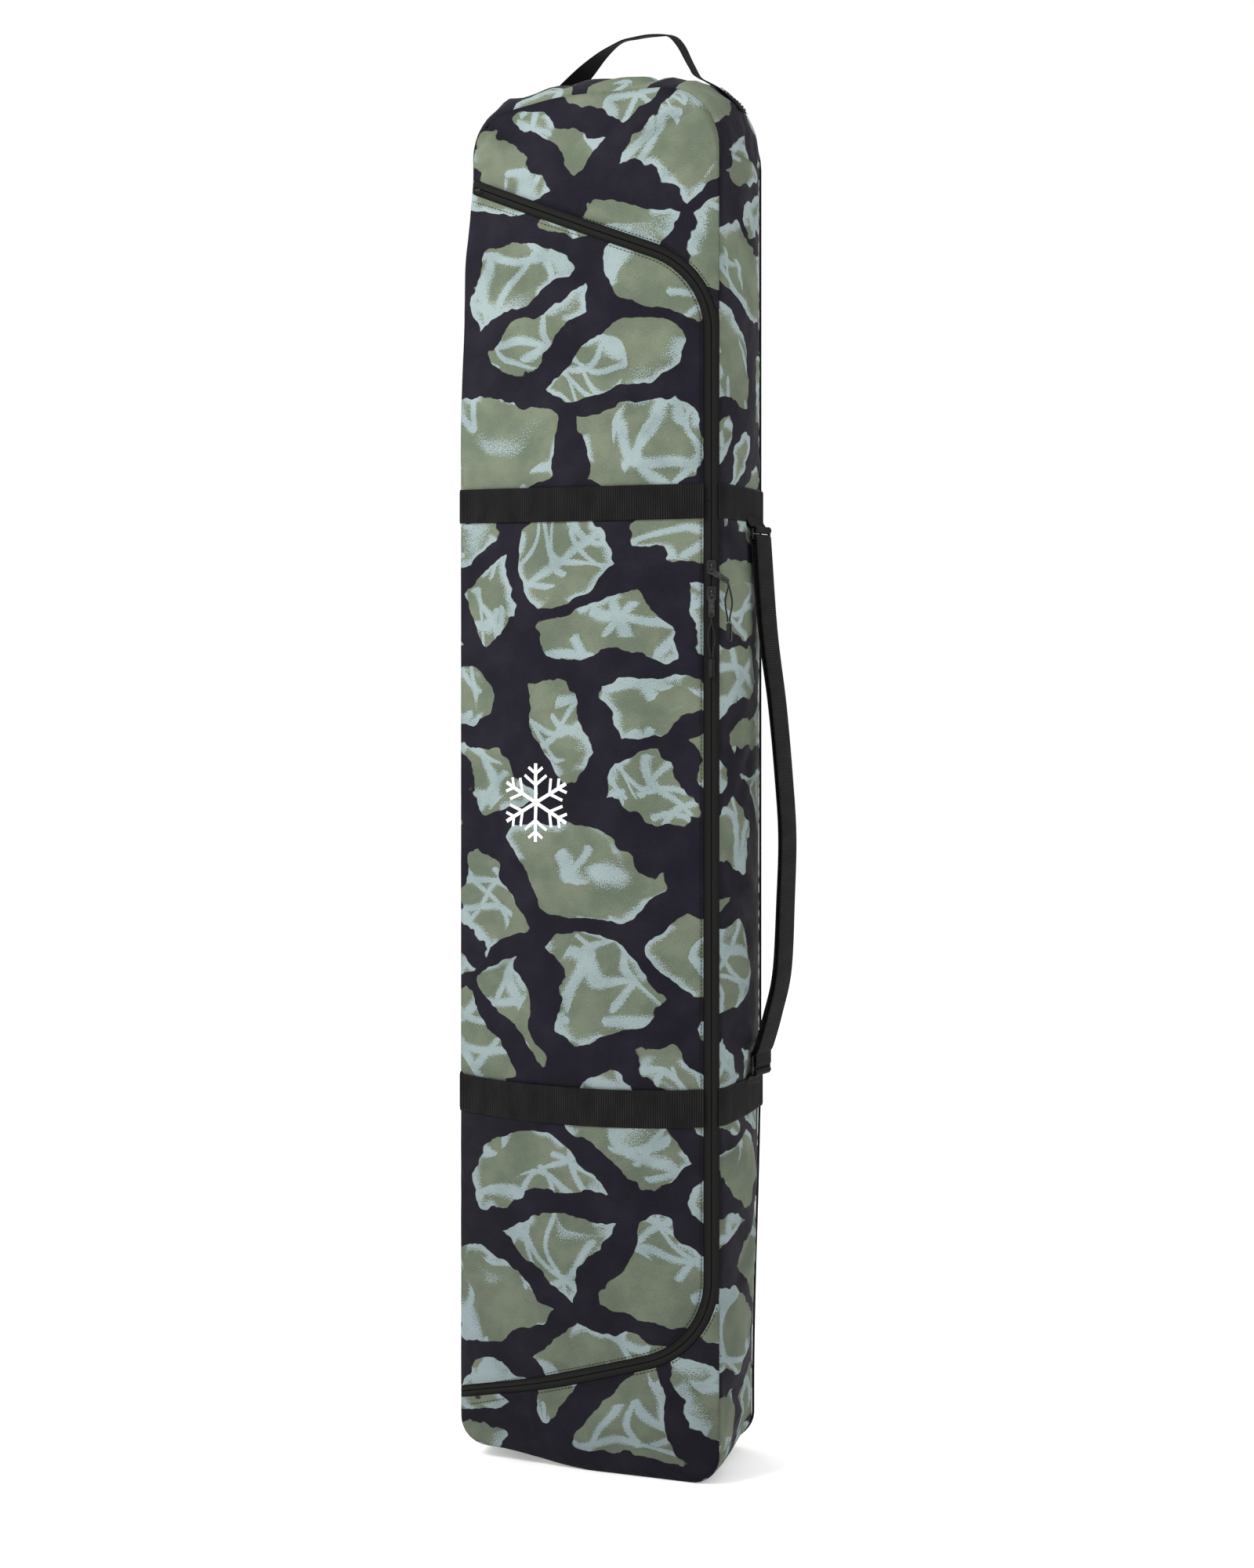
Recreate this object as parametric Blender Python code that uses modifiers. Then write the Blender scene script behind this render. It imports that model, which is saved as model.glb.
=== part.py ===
"""Upright snowboard bag: sewn shell, zipped front flap, webbing bands, grab handle and shoulder strap.

Metres, +Z up. The bag stands on its base at z = 0, its front faces -Y, and x = 0, y = 0 is the
middle of the seam outline. Run with: blender --background --python part.py
"""

import math

import bmesh
import bpy
from mathutils import Matrix, Vector

# Bag body
WIDTH = 0.330  # across the front, seam to seam
DEPTH = 0.150  # front seam to back seam
HEIGHT = 1.620  # base to the top seam
TOP_RADIUS = 0.075  # of the outline's top corners
BASE_RADIUS = 0.035  # of the outline's bottom corners
FRONT_CROWN = 0.026  # how far the stuffed front stands proud of its seams
BACK_CROWN = 0.014
SIDE_BULGE = 0.009
TOP_BULGE = 0.028  # dome of the top gusset
HANDLE_DIP = 0.38  # share of the dome lost where the handle pulls on it
PANEL = 0.0022  # outer fabric with its backing
LINING = 0.0010
GAP = 0.0004  # between pieces that touch

# Zip, along a path that starts and ends on the left front seam
ZIP_TOP_Z = 1.520
ZIP_BOTTOM_Z = 0.070
ZIP_TOP_SLOPE = math.radians(-20.0)
ZIP_BOTTOM_SLOPE = math.radians(15.7)
ZIP_TOP_BEND = 0.100  # bend radii at the right edge
ZIP_BOTTOM_BEND = 0.100
TAPE_HALF = 0.0090  # visible width of one half of the tape
TAPE_THICK = 0.0015
ZIP_X = WIDTH / 2 - TAPE_HALF  # the straight run beside the right front seam
COIL_RADIUS = 0.0011

# Webbing
BAND_WIDTH = 0.038
BAND_THICK = 0.0016
BAND_LIFT = 0.0010  # clearance over the panels below
BAND_HEIGHTS = {"upper": 1.137, "lower": 0.437}
PIPING_RADIUS = 0.0015
HANDLE_WIDTH = 0.025
FOLD_GAP = 0.0012  # between a sewn end and the handle, at the left end
TURN_GAP = 0.0025  # below the round tongue at the right end
STRAP_WIDTH = 0.038
WEBBING = 0.0016

# Sliders and pulls
SLIDER_HEIGHTS = {"upper": 1.060, "lower": 1.030}
SLIDER_LENGTH = 0.016
SLIDER_WIDTH = 0.011
SLIDER_THICK = 0.0028
SLIDER_LIFT = 0.0006
BAIL_RADIUS = 0.0046
BAIL_WIRE = 0.0009
PULL_LENGTH = 0.027
PULL_WIDTH = 0.0068
PULL_THICK = 0.0012
PULL_LEAN = {"upper": math.radians(58.0), "lower": 0.0}
CORD_RADIUS = 0.0010
CORD_DROP = 0.046
CORD_TURN = 0.0040
CORD_SPREAD = 0.0034
CORD_PINCH = 0.0012
GRIP_LENGTH = 0.022
GRIP_RADIUS = 0.0032

# Shoulder strap, hung beside the right gusset
STRAP_AXIS = (0.1842, 0.0220)  # it swings about this upright line
STRAP_AZIMUTH = math.radians(-10.0)  # direction of its bow, from +X towards +Y
STRAP_TOP = 1.1075  # the bars that the two sewn tabs are looped round
STRAP_BOTTOM = 0.4655
STRAP_BOW = [(0, 0), (0.18, 0.0087), (0.325, 0.0207), (0.47, 0.0294), (0.58, 0.0338)]
STRAP_BOW += [(0.70, 0.0318), (0.84, 0.0275), (0.927, 0.0152), (0.985, 0.0044), (1, 0)]
LAYER_GAP = 0.0030  # how much less the inner layer bows
TAB_LENGTH = 0.0050
BAR_PITCH = 0.0095  # between the bars of the ring and of the tri-glide
BAR = 0.0034
BUCKLE_THICK = 0.0026
LOOP_RADIUS = 0.0034  # of webbing round a bar, at the middle of its thickness

COLOURS = {
    "print_fabric": (0.165, 0.178, 0.150, 0.75, 0.0),
    "lining_fabric": (0.020, 0.020, 0.022, 0.85, 0.0),
    "zip_tape": (0.013, 0.013, 0.012, 0.80, 0.0),
    "coil_plastic": (0.010, 0.010, 0.011, 0.45, 0.0),
    "webbing": (0.014, 0.013, 0.014, 0.85, 0.0),
    "slider_metal": (0.016, 0.016, 0.018, 0.35, 0.9),
    "moulded_plastic": (0.018, 0.018, 0.019, 0.40, 0.0),
    "cord": (0.012, 0.012, 0.013, 0.80, 0.0),
}


# ---------------------------------------------------------------- scene helpers


def clear_scene():
    for old in list(bpy.data.objects):
        bpy.data.objects.remove(old)


def new_collection(name):
    made = bpy.data.collections.new(name)
    bpy.context.scene.collection.children.link(made)
    return made


def material(name):
    """The Principled material of that name, made the first time it is asked for."""
    found = bpy.data.materials.get(name)
    if found:
        return found
    red, green, blue, roughness, metallic = COLOURS[name]
    made = bpy.data.materials.new(name)
    made.use_nodes = True
    shader = made.node_tree.nodes["Principled BSDF"]
    shader.inputs["Base Color"].default_value = (red, green, blue, 1.0)
    shader.inputs["Roughness"].default_value = roughness
    shader.inputs["Metallic"].default_value = metallic
    return made


def add_object(name, data, material_name):
    made = bpy.data.objects.new(name, data)
    made.data.materials.append(material(material_name))
    BAG.objects.link(made)
    return made


def smooth(obj):
    obj.data.shade_smooth()
    obj.data.set_sharp_from_angle(angle=math.radians(40))


def away_from_middle(point):
    """Outward direction at a point of the bag's shell, as the gradient of an ellipsoid."""
    return Vector(
        (
            point.x / (WIDTH / 2) ** 2,
            point.y / (DEPTH / 2) ** 2,
            (point.z - HEIGHT / 2) / (HEIGHT / 2) ** 2,
        )
    )


def sheet(name, rows, thickness, material_name, closed=False, centred=False):
    """A sewn sheet: an open grid through rows of points, thickened inwards from the rows' surface.

    closed joins the last row to the first. centred thickens both ways, for loose webbing.
    """
    shape = bmesh.new()
    grid = [[shape.verts.new(point) for point in row] for row in rows]
    pairs = list(zip(grid, grid[1:]))
    if closed:
        pairs.append((grid[-1], grid[0]))
    for near, far in pairs:
        for i in range(len(near) - 1):
            shape.faces.new((near[i], near[i + 1], far[i + 1], far[i]))
    shape.normal_update()
    facing = sum(
        face.normal.dot(away_from_middle(face.calc_center_median())) * face.calc_area()
        for face in shape.faces
    )
    if facing < 0:
        bmesh.ops.reverse_faces(shape, faces=shape.faces)
    mesh = bpy.data.meshes.new(name)
    shape.to_mesh(mesh)
    shape.free()
    obj = add_object(name, mesh, material_name)
    shell = obj.modifiers.new("thickness", "SOLIDIFY")
    shell.thickness = thickness
    shell.offset = 0.0 if centred else -1.0
    shell.use_even_offset = centred
    smooth(obj)
    return obj


def tube(name, points, radius, material_name, closed=False, sides=2):
    """A cord or wire through the points, with filled caps unless it is closed."""
    curve = bpy.data.curves.new(name, "CURVE")
    curve.dimensions = "3D"
    curve.bevel_depth = radius
    curve.bevel_resolution = sides
    curve.use_fill_caps = not closed
    spline = curve.splines.new("POLY")
    spline.points.add(len(points) - 1)
    for target, point in zip(spline.points, points):
        target.co = (*point, 1.0)
    spline.use_cyclic_u = closed
    return add_object(name, curve, material_name)


# ---------------------------------------------------------------- bag surfaces


def crown(x, z):
    """Share of the full crown at a place on the front or back panel: 0 on the seams."""
    across = 1 - min(1.0, abs(2 * x / WIDTH)) ** 2.4
    along = 1 - min(1.0, abs(2 * z / HEIGHT - 1)) ** 12
    return across * along


def front_point(x, z, out=0.0):
    return Vector((x, -DEPTH / 2 - FRONT_CROWN * crown(x, z) - out, z))


def back_point(x, z, out=0.0):
    return Vector((x, DEPTH / 2 + BACK_CROWN * crown(x, z) + out, z))


def arc(centre, radius, start, end, steps):
    """Points and normals of an arc in the XZ plane, from angle start to end."""
    made = []
    for i in range(steps + 1):
        angle = start + (end - start) * i / steps
        normal = Vector((math.cos(angle), math.sin(angle)))
        made.append((Vector(centre) + radius * normal, normal))
    return made


def straight(start, end, normal, steps):
    start, end = Vector(start), Vector(end)
    return [(start.lerp(end, i / steps), Vector(normal)) for i in range(steps)]


def outline_side(sign, steps=10):
    """Side seam of the outline, bottom to top, as (point, outward normal) pairs. sign 1 is the right."""
    x = sign * WIDTH / 2
    top = HEIGHT - TOP_RADIUS
    made = straight((x, BASE_RADIUS), (x, top), (sign, 0), steps)
    made.append((Vector((x, top)), Vector((sign, 0))))
    return made


def outline_top(steps=5):
    """Top of the outline with both top corners, left to right."""
    x, z = WIDTH / 2 - TOP_RADIUS, HEIGHT - TOP_RADIUS
    made = arc((-x, z), TOP_RADIUS, math.pi, math.pi / 2, steps)
    made += straight((-x, HEIGHT), (x, HEIGHT), (0, 1), 4)[1:]
    return made + arc((x, z), TOP_RADIUS, math.pi / 2, 0, steps)


def outline_base(steps=4):
    """Base of the outline with both bottom corners, left to right."""
    x = WIDTH / 2 - BASE_RADIUS
    made = arc((-x, BASE_RADIUS), BASE_RADIUS, math.pi, 1.5 * math.pi, steps)
    made += straight((-x, 0), (x, 0), (0, -1), 3)[1:]
    return made + arc((x, BASE_RADIUS), BASE_RADIUS, -math.pi / 2, 0, steps)


def gusset_bulge(point, normal):
    """Outward bulge of the gusset at mid depth: flat at the base, fullest at the top."""
    rise = min(1.0, max(0.0, (point.y - BASE_RADIUS) / 0.12))
    upward = max(0.0, normal.y)
    dip = HANDLE_DIP * math.exp(-(((point.x - 0.100) / 0.038) ** 2))
    return SIDE_BULGE * rise * (1 - upward) + TOP_BULGE * upward * (1 - dip)


def gusset_point(place, across, out=0.0, inset=PANEL + GAP):
    """A point of the gusset: place on the outline, across from -1 at the front to 1 at the back."""
    point, normal = place
    front = front_point(point.x, point.y).y + inset
    back = back_point(point.x, point.y).y - inset
    bulge = gusset_bulge(point, normal) * (1 - across * across) ** 0.8
    at = point + normal * (bulge + out)
    return Vector((at.x, front + (back - front) * (across + 1) / 2, at.y))


def gusset_rows(outline, out=0.0, steps=6, inset=PANEL + GAP):
    turns = [-1 + 2 * i / steps for i in range(steps + 1)]
    return [[gusset_point(place, t, out, inset) for t in turns] for place in outline]


# ---------------------------------------------------------------- zip path


def bend(corner, direction_in, direction_out, radius):
    """Centre of the round bend that joins two straight runs at a corner, and its tangent length."""
    turn = direction_in.angle(direction_out)
    reach = radius * math.tan(turn / 2)
    start = corner - direction_in * reach
    inward = (direction_out - direction_in * direction_in.dot(direction_out)).normalized()
    return start + inward * radius, reach


def zip_path(steps=9):
    """The zip's centre line from the top left, down the right edge, to the bottom left.

    Pairs of (point, normal away from the flap), in the XZ plane.
    """
    left, right = -WIDTH / 2, ZIP_X
    run = right - left
    top_corner = Vector((right, ZIP_TOP_Z + run * math.tan(ZIP_TOP_SLOPE)))
    low_corner = Vector((right, ZIP_BOTTOM_Z + run * math.tan(ZIP_BOTTOM_SLOPE)))
    top_run = Vector((math.cos(ZIP_TOP_SLOPE), math.sin(ZIP_TOP_SLOPE)))
    low_run = Vector((-math.cos(ZIP_BOTTOM_SLOPE), -math.sin(ZIP_BOTTOM_SLOPE)))
    down = Vector((0, -1))
    top_centre, top_reach = bend(top_corner, top_run, down, ZIP_TOP_BEND)
    low_centre, low_reach = bend(low_corner, down, low_run, ZIP_BOTTOM_BEND)
    top_normal = Vector((-top_run.y, top_run.x))
    low_normal = Vector((-low_run.y, low_run.x))
    top_angle = math.atan2(top_normal.y, top_normal.x)
    low_angle = math.atan2(low_normal.y, low_normal.x)
    path = straight((left, ZIP_TOP_Z), top_corner - top_run * top_reach, top_normal, steps)
    path += arc(top_centre, ZIP_TOP_BEND, top_angle, 0, steps)
    path += straight(
        (right, top_corner.y - top_reach), (right, low_corner.y + low_reach), (1, 0), 2 * steps
    )[1:]
    path += arc(low_centre, ZIP_BOTTOM_BEND, 0, low_angle, steps)
    path += straight(low_corner + low_run * low_reach, (left, ZIP_BOTTOM_Z), low_normal, steps)[1:]
    path.append((Vector((left, ZIP_BOTTOM_Z)), low_normal))
    return path


def beside_zip(place, offset):
    """A point beside the zip's centre line, kept inside the bag's seams."""
    point, normal = place
    at = point + normal * offset
    limit = WIDTH / 2 - GAP
    return Vector((max(-limit, min(limit, at.x)), at.y))


def zip_strip(name, near, far, thickness, material_name, out=0.0):
    """A strip of the front surface between two offsets from the zip's centre line."""
    rows = []
    for place in zip_path():
        ends = beside_zip(place, near), beside_zip(place, far)
        rows.append([front_point(*ends[0].lerp(ends[1], t), out) for t in (0, 1)])
    return sheet(name, rows, thickness, material_name)


def resampled(points, count):
    """count points spaced evenly along a polyline."""
    lengths = [0.0]
    for near, far in zip(points, points[1:]):
        lengths.append(lengths[-1] + (far - near).length)
    made, i = [], 0
    for k in range(count):
        want = lengths[-1] * k / (count - 1)
        while i < len(points) - 2 and lengths[i + 1] < want:
            i += 1
        share = (want - lengths[i]) / max(1e-9, lengths[i + 1] - lengths[i])
        made.append(points[i].lerp(points[i + 1], min(1.0, share)))
    return made


# ---------------------------------------------------------------- shell pieces


def make_flap_panel(name, edge_offset, left_inset, thickness, material_name, out=0.0):
    """The front panel inside the zip, or its lining: rows run from the left seam to the zip."""
    edge = [beside_zip(place, -edge_offset) for place in zip_path()]
    left_x = -WIDTH / 2 + left_inset
    top, bottom = edge[0].y, edge[-1].y
    rows = []
    for i, end in enumerate(edge):
        share = i / (len(edge) - 1)
        start = Vector((left_x, top + (bottom - top) * share))
        end = Vector((max(end.x, left_x + GAP), end.y))
        rows.append([front_point(*start.lerp(end, k / 12), out) for k in range(13)])
    return sheet(name, rows, thickness, material_name)


def make_yoke(name, at_top):
    """The fixed front fabric beyond the zip, at the top or the bottom of the bag."""
    path = zip_path()
    upper = [p for p in path if p[0].y > HEIGHT / 2]
    lower = [p for p in path if p[0].y < HEIGHT / 2]
    offset = TAPE_HALF + 3 * GAP
    reach = WIDTH / 2 - 0.0035  # the yoke ends where the tape meets the right seam
    run = upper if at_top else list(reversed(lower))
    inner = [beside_zip(p, offset) for p in run]
    inner = [p for p in inner if p.x < reach]
    limit = WIDTH / 2 - GAP
    left = Vector((-limit, inner[0].y))
    right = Vector((limit, inner[-1].y))
    edge = outline_top() if at_top else outline_base()
    trimmed = [
        Vector((max(-limit, min(limit, p.x)), max(GAP, min(HEIGHT - GAP, p.y)))) for p, _ in edge
    ]
    outer = resampled([left, *trimmed, right], 25)
    inner = resampled(inner, 25)
    inner[0].y += GAP if at_top else -GAP
    outer[0].y += 0.004 if at_top else -0.004
    rows = [
        [front_point(*a.lerp(b, k / 5)) for k in range(6)] for a, b in zip(inner, outer)
    ]
    return sheet(name, rows, PANEL, "print_fabric")


def make_back_panel(name, inset, thickness, material_name, out=0.0):
    """The back panel or its lining, as rows across the bag between the side seams."""
    low, high = inset + GAP, HEIGHT - inset - GAP
    heights = [low, *(z for z in back_heights() if low + GAP < z < high - GAP), high]
    rows = []
    for z in heights:
        half = half_width(z) - inset - GAP
        rows.append([back_point(half * k / 5, z, out) for k in range(-5, 6)])
    return sheet(name, rows, thickness, material_name)


def back_heights():
    """Heights at which the back panel has rows: close together in the corners and near the ends."""
    quarter = math.pi / 2
    low = [BASE_RADIUS * (1 - math.cos(quarter * i / 4)) for i in range(5)]
    high = [HEIGHT - TOP_RADIUS * (1 - math.cos(quarter * i / 6)) for i in range(7)]
    spread = [0.5 - 0.5 * math.cos(math.pi * i / 14) for i in range(1, 14)]
    middle = [low[-1] + (high[-1] - low[-1]) * share for share in spread]
    return low + middle + list(reversed(high))


def half_width(z):
    """Half the outline's width at a height."""
    if z < BASE_RADIUS:
        drop = BASE_RADIUS - max(0.0, z)
        return WIDTH / 2 - BASE_RADIUS + math.sqrt(max(0.0, BASE_RADIUS**2 - drop**2))
    if z > HEIGHT - TOP_RADIUS:
        rise = min(HEIGHT, z) - (HEIGHT - TOP_RADIUS)
        return WIDTH / 2 - TOP_RADIUS + math.sqrt(max(0.0, TOP_RADIUS**2 - rise**2))
    return WIDTH / 2


def trimmed(outline, margin=GAP):
    """The outline's run with its two ends drawn in, so that neighbouring gussets don't touch."""
    run = list(outline)
    first, second = run[0][0], run[1][0]
    last, before = run[-1][0], run[-2][0]
    run[0] = (first + (second - first).normalized() * margin, run[0][1])
    run[-1] = (last + (before - last).normalized() * margin, run[-1][1])
    return run


def make_gussets():
    runs = {
        "left": trimmed(outline_side(-1)),
        "right": trimmed(outline_side(1)),
        "top": trimmed(outline_top()),
        "bottom": trimmed(outline_base()),
    }
    for side, run in runs.items():
        sheet(f"gusset_{side}", gusset_rows(run), PANEL, "print_fabric")
        inner = gusset_rows(run, out=-PANEL - GAP, inset=PANEL + LINING + 3 * GAP)
        sheet(f"lining_{side}", inner, LINING, "lining_fabric")


def make_piping():
    """The corded seam round the back panel: a closed loop just outside the seam's corner."""
    outline = outline_side(1) + outline_top()[::-1][1:] + outline_side(-1)[::-1][1:]
    outline += outline_base()[1:-1]
    reach = PIPING_RADIUS + GAP
    points = []
    for point, normal in outline:
        down = max(0.0, -normal.y)  # at the base it lies behind the panel, clear of the ground
        at = point + normal * (reach * 0.75 * (1 - down)) + Vector((0, reach * down))
        points.append((at.x, back_point(point.x, point.y).y + reach * (0.75 + 0.4 * down), at.y))
    tube("piping_back", points, PIPING_RADIUS, "webbing", closed=True, sides=1)


# ---------------------------------------------------------------- webbing bands


def make_bands():
    """Each band is sewn to the flap in front, and wraps the fixed shell from zip to left seam."""
    for label, height in BAND_HEIGHTS.items():
        edges = height - BAND_WIDTH / 2, height + BAND_WIDTH / 2
        start, end = -WIDTH / 2 + 0.008, ZIP_X - TAPE_HALF - 0.0015
        lift = BAND_LIFT + BAND_THICK
        front = [start + (end - start) * i / 18 for i in range(19)]
        rows = [[front_point(x, z, lift) for z in edges] for x in front]
        sheet(f"band_flap_{label}", rows, BAND_THICK, "webbing")
        rows = [[Vector((x, y, z)) for z in edges] for x, y in wrap_plan(lift)]
        sheet(f"band_wrap_{label}", rows, BAND_THICK, "webbing")


def wrap_plan(out):
    """Plan of a band from the right front seam round the back to the left front seam."""
    turns = [-0.97 + 1.85 * i / 9 for i in range(10)]
    mid = (Vector((WIDTH / 2, HEIGHT / 2)), Vector((1, 0)))
    side = [gusset_point(mid, t, out).xy for t in turns]
    corner_out = out + 2 * PIPING_RADIUS + 2 * GAP
    corner = [
        Vector((WIDTH / 2, DEPTH / 2)) + Vector((math.cos(a), math.sin(a))) * corner_out
        for a in (math.radians(d) for d in (15, 45, 75))
    ]
    back = [back_point(WIDTH / 2 * t, HEIGHT / 2, out).xy for t in (0.92, 0.8, 0.6, 0.4, 0.2, 0)]
    half = side + corner + back
    return half + [Vector((-p.x, p.y)) for p in reversed(half[:-1])]


# ---------------------------------------------------------------- grab handle


def curve_through(controls, count):
    """count points on a Catmull-Rom curve through the control points."""
    ends = [2 * controls[0] - controls[1], *controls, 2 * controls[-1] - controls[-2]]
    spans = len(controls) - 1
    made = []
    for k in range(count):
        at = spans * k / (count - 1)
        i = min(spans - 1, int(at))
        t = at - i
        a, b, c, d = ends[i : i + 4]
        bend_in = 2 * a - 5 * b + 4 * c - d
        bend_out = 3 * b - a - 3 * c + d
        made.append(0.5 * (2 * b + (c - a) * t + bend_in * t**2 + bend_out * t**3))
    return made


HANDLE_LEFT = Vector((-0.078, 0.044, 1.6490))  # the two ends of the line that it swings about
HANDLE_RIGHT = Vector((0.1073, 0.0042, 1.6599))
HANDLE_ARCH = [
    HANDLE_LEFT,
    Vector((-0.055, 0.041, 1.6590)),
    Vector((-0.024, 0.034, 1.6815)),
    Vector((0.001, 0.028, 1.6985)),
    Vector((0.0375, 0.020, 1.7035)),
    Vector((0.075, 0.012, 1.6985)),
    Vector((0.091, 0.008, 1.6850)),
    Vector((0.103, 0.005, 1.6680)),
    HANDLE_RIGHT,
]
HANDLE_TURNS = [
    Vector((0.45, 0.75, -0.45)),  # the width's direction, from the left end to the right end
    Vector((0.57, 0.40, -0.72)),
    Vector((0.45, 0.70, -0.55)),
    Vector((0.15, 1.00, -0.08)),
    Vector((0.00, 1.00, 0.00)),
    Vector((0.00, 1.00, 0.00)),
]


def make_handle():
    """The grab handle: one webbing, its left leg turned to show its face, its right leg flat.

    Its right end is a round tongue, so that it turns above the sewn end without touching it.
    """
    points = curve_through(HANDLE_ARCH, 27)
    turns = curve_through(HANDLE_TURNS, 27)
    rows = []
    for i, point in enumerate(points):
        before, after = points[max(0, i - 1)], points[min(len(points) - 1, i + 1)]
        run = (after - before).normalized()
        across = (turns[i] - run * turns[i].dot(run)).normalized() * HANDLE_WIDTH / 2
        rows.append([point - across, point + across])
    tongue = []
    for degrees in (20, 38, 54, 68, 80):
        a = math.radians(degrees)
        middle = points[-1] + run * (math.sin(a) * HANDLE_WIDTH / 2)
        tongue.append([middle - across * math.cos(a), middle + across * math.cos(a)])
    sheet("handle_webbing", rows + tongue, WEBBING, "webbing", centred=True)
    left = [(Vector((x, HEIGHT)), Vector((0, 1))) for x in (-0.0905, -0.101, -0.112)]
    centre = (WIDTH / 2 - TOP_RADIUS, HEIGHT - TOP_RADIUS)
    right = arc(centre, TOP_RADIUS, math.radians(66), math.radians(36), 3)
    turning_room = HANDLE_WIDTH / 2 + TURN_GAP
    make_handle_anchor("handle_anchor_left", rows[0], rows[1], left, 0.60, FOLD_GAP)
    make_handle_anchor("handle_anchor_right", rows[-1], rows[-2], right, 0.03, turning_room)


def make_handle_anchor(name, end, beyond, patch, across, drop):
    """The sewn end of the handle: a patch on the gusset that rises to drop below the handle."""
    run = ((beyond[0] + beyond[1]) - (end[0] + end[1])).normalized()
    rows = [[point - run * further for point in end] for further in (drop, drop + 0.0028)]
    half = HANDLE_WIDTH / DEPTH
    for place in patch:
        lift = WEBBING / 2 + 2 * GAP
        rows.append([gusset_point(place, across + side * half, lift) for side in (-1, 1)])
    sheet(name, rows, WEBBING, "webbing", centred=True)


# ---------------------------------------------------------------- shoulder strap


def strap_frame(z):
    """Matrix of the strap at a height: X across its width, Y up, Z along its bow."""
    out = Vector((math.cos(STRAP_AZIMUTH), math.sin(STRAP_AZIMUTH), 0))
    up = Vector((0, 0, 1))
    turned = Matrix((up.cross(out), up, out)).transposed().to_4x4()
    return Matrix.Translation((*STRAP_AXIS, z)) @ turned


def webbing_loop(name, line):
    """A closed loop of webbing whose edge follows the (bow, height) points of line."""
    half = STRAP_WIDTH / 2
    rows = []
    for bow, z in line:
        place = strap_frame(z)
        rows.append([place @ Vector((side * half, 0, bow)) for side in (-1, 1)])
    return sheet(name, rows, WEBBING, "webbing", closed=True, centred=True)


def half_turn(height, start, steps=6):
    """(bow, height) points half way round a bar, from the angle start, against the clock."""
    made = []
    for i in range(steps + 1):
        angle = start + math.pi * i / steps
        made.append((LOOP_RADIUS * math.cos(angle), height + LOOP_RADIUS * math.sin(angle)))
    return made


def make_strap():
    """One long loop of webbing between a ring and a tri-glide, each hung from a sewn tab."""
    top = STRAP_TOP - BAR_PITCH
    bottom = STRAP_BOTTOM + BAR_PITCH
    clear = bottom + BAR_PITCH + BAR  # above the tri-glide the two layers part
    outer = strap_layer(LOOP_RADIUS, top, clear, 0)
    inner = strap_layer(-LOOP_RADIUS, top, clear, LAYER_GAP)
    line = half_turn(top, 0)[:-1] + inner + half_turn(bottom, math.pi) + outer[::-1][:-1]
    webbing_loop("strap_webbing", line)
    make_buckle("ring_upper", STRAP_TOP - BAR_PITCH, 1)
    make_buckle("tri_glide", STRAP_BOTTOM, 2)
    raised = STRAP_TOP + TAB_LENGTH
    webbing_loop("strap_tab_upper", half_turn(raised, 0) + half_turn(STRAP_TOP, math.pi))
    lowered = STRAP_BOTTOM - TAB_LENGTH
    webbing_loop("strap_tab_lower", half_turn(STRAP_BOTTOM, 0) + half_turn(lowered, math.pi))


def strap_layer(offset, top, bottom, less, steps=14):
    """(bow, height) points of one layer of the strap, from the ring down to the tri-glide."""
    line = curve_through([Vector(point) for point in STRAP_BOW], steps + 1)
    made = []
    for share, bow in line:
        slack = less * math.sin(math.pi * share)
        made.append((offset + bow - slack, top + (bottom - top) * share))
    return made


def make_buckle(name, low, slots):
    """A flat moulded buckle with one slot or two: BAR wide all round, standing up from low."""
    half = STRAP_WIDTH / 2 + 0.0008
    inner, outer = half, half + BAR
    high = BAR_PITCH * slots
    border = rounded_box(-outer, outer, -BAR / 2, high + BAR / 2, 0.0030)
    holes = []
    for i in range(slots):
        floor = BAR_PITCH * i + BAR / 2
        holes.append(rounded_box(-inner, inner, floor, floor + BAR_PITCH - BAR, 0.0008))
    flat_piece(name, [border, *holes], BUCKLE_THICK, "moulded_plastic", strap_frame(low))


def rounded_box(left, right, low, high, radius, steps=3):
    """Corner points of a rectangle with round corners, against the clock."""
    made = []
    corners = ((right, high, 0), (left, high, 1), (left, low, 2), (right, low, 3))
    for x, y, quarter in corners:
        cx = x - radius if x == right else x + radius
        cy = y - radius if y == high else y + radius
        for i in range(steps + 1):
            angle = math.pi / 2 * (quarter + i / steps)
            made.append((cx + radius * math.cos(angle), cy + radius * math.sin(angle)))
    return made


def flat_piece(name, outlines, thickness, material_name, place):
    """A flat piece cut from sheet, as thick each way from place: an outline, then its holes."""
    curve = bpy.data.curves.new(name, "CURVE")
    curve.dimensions = "2D"
    curve.fill_mode = "BOTH"
    curve.extrude = thickness / 2
    for points in outlines:
        spline = curve.splines.new("POLY")
        spline.points.add(len(points) - 1)
        for target, (x, y) in zip(spline.points, points):
            target.co = (x, y, 0, 1)
        spline.use_cyclic_u = True
    obj = add_object(name, curve, material_name)
    obj.matrix_world = place
    return obj


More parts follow.
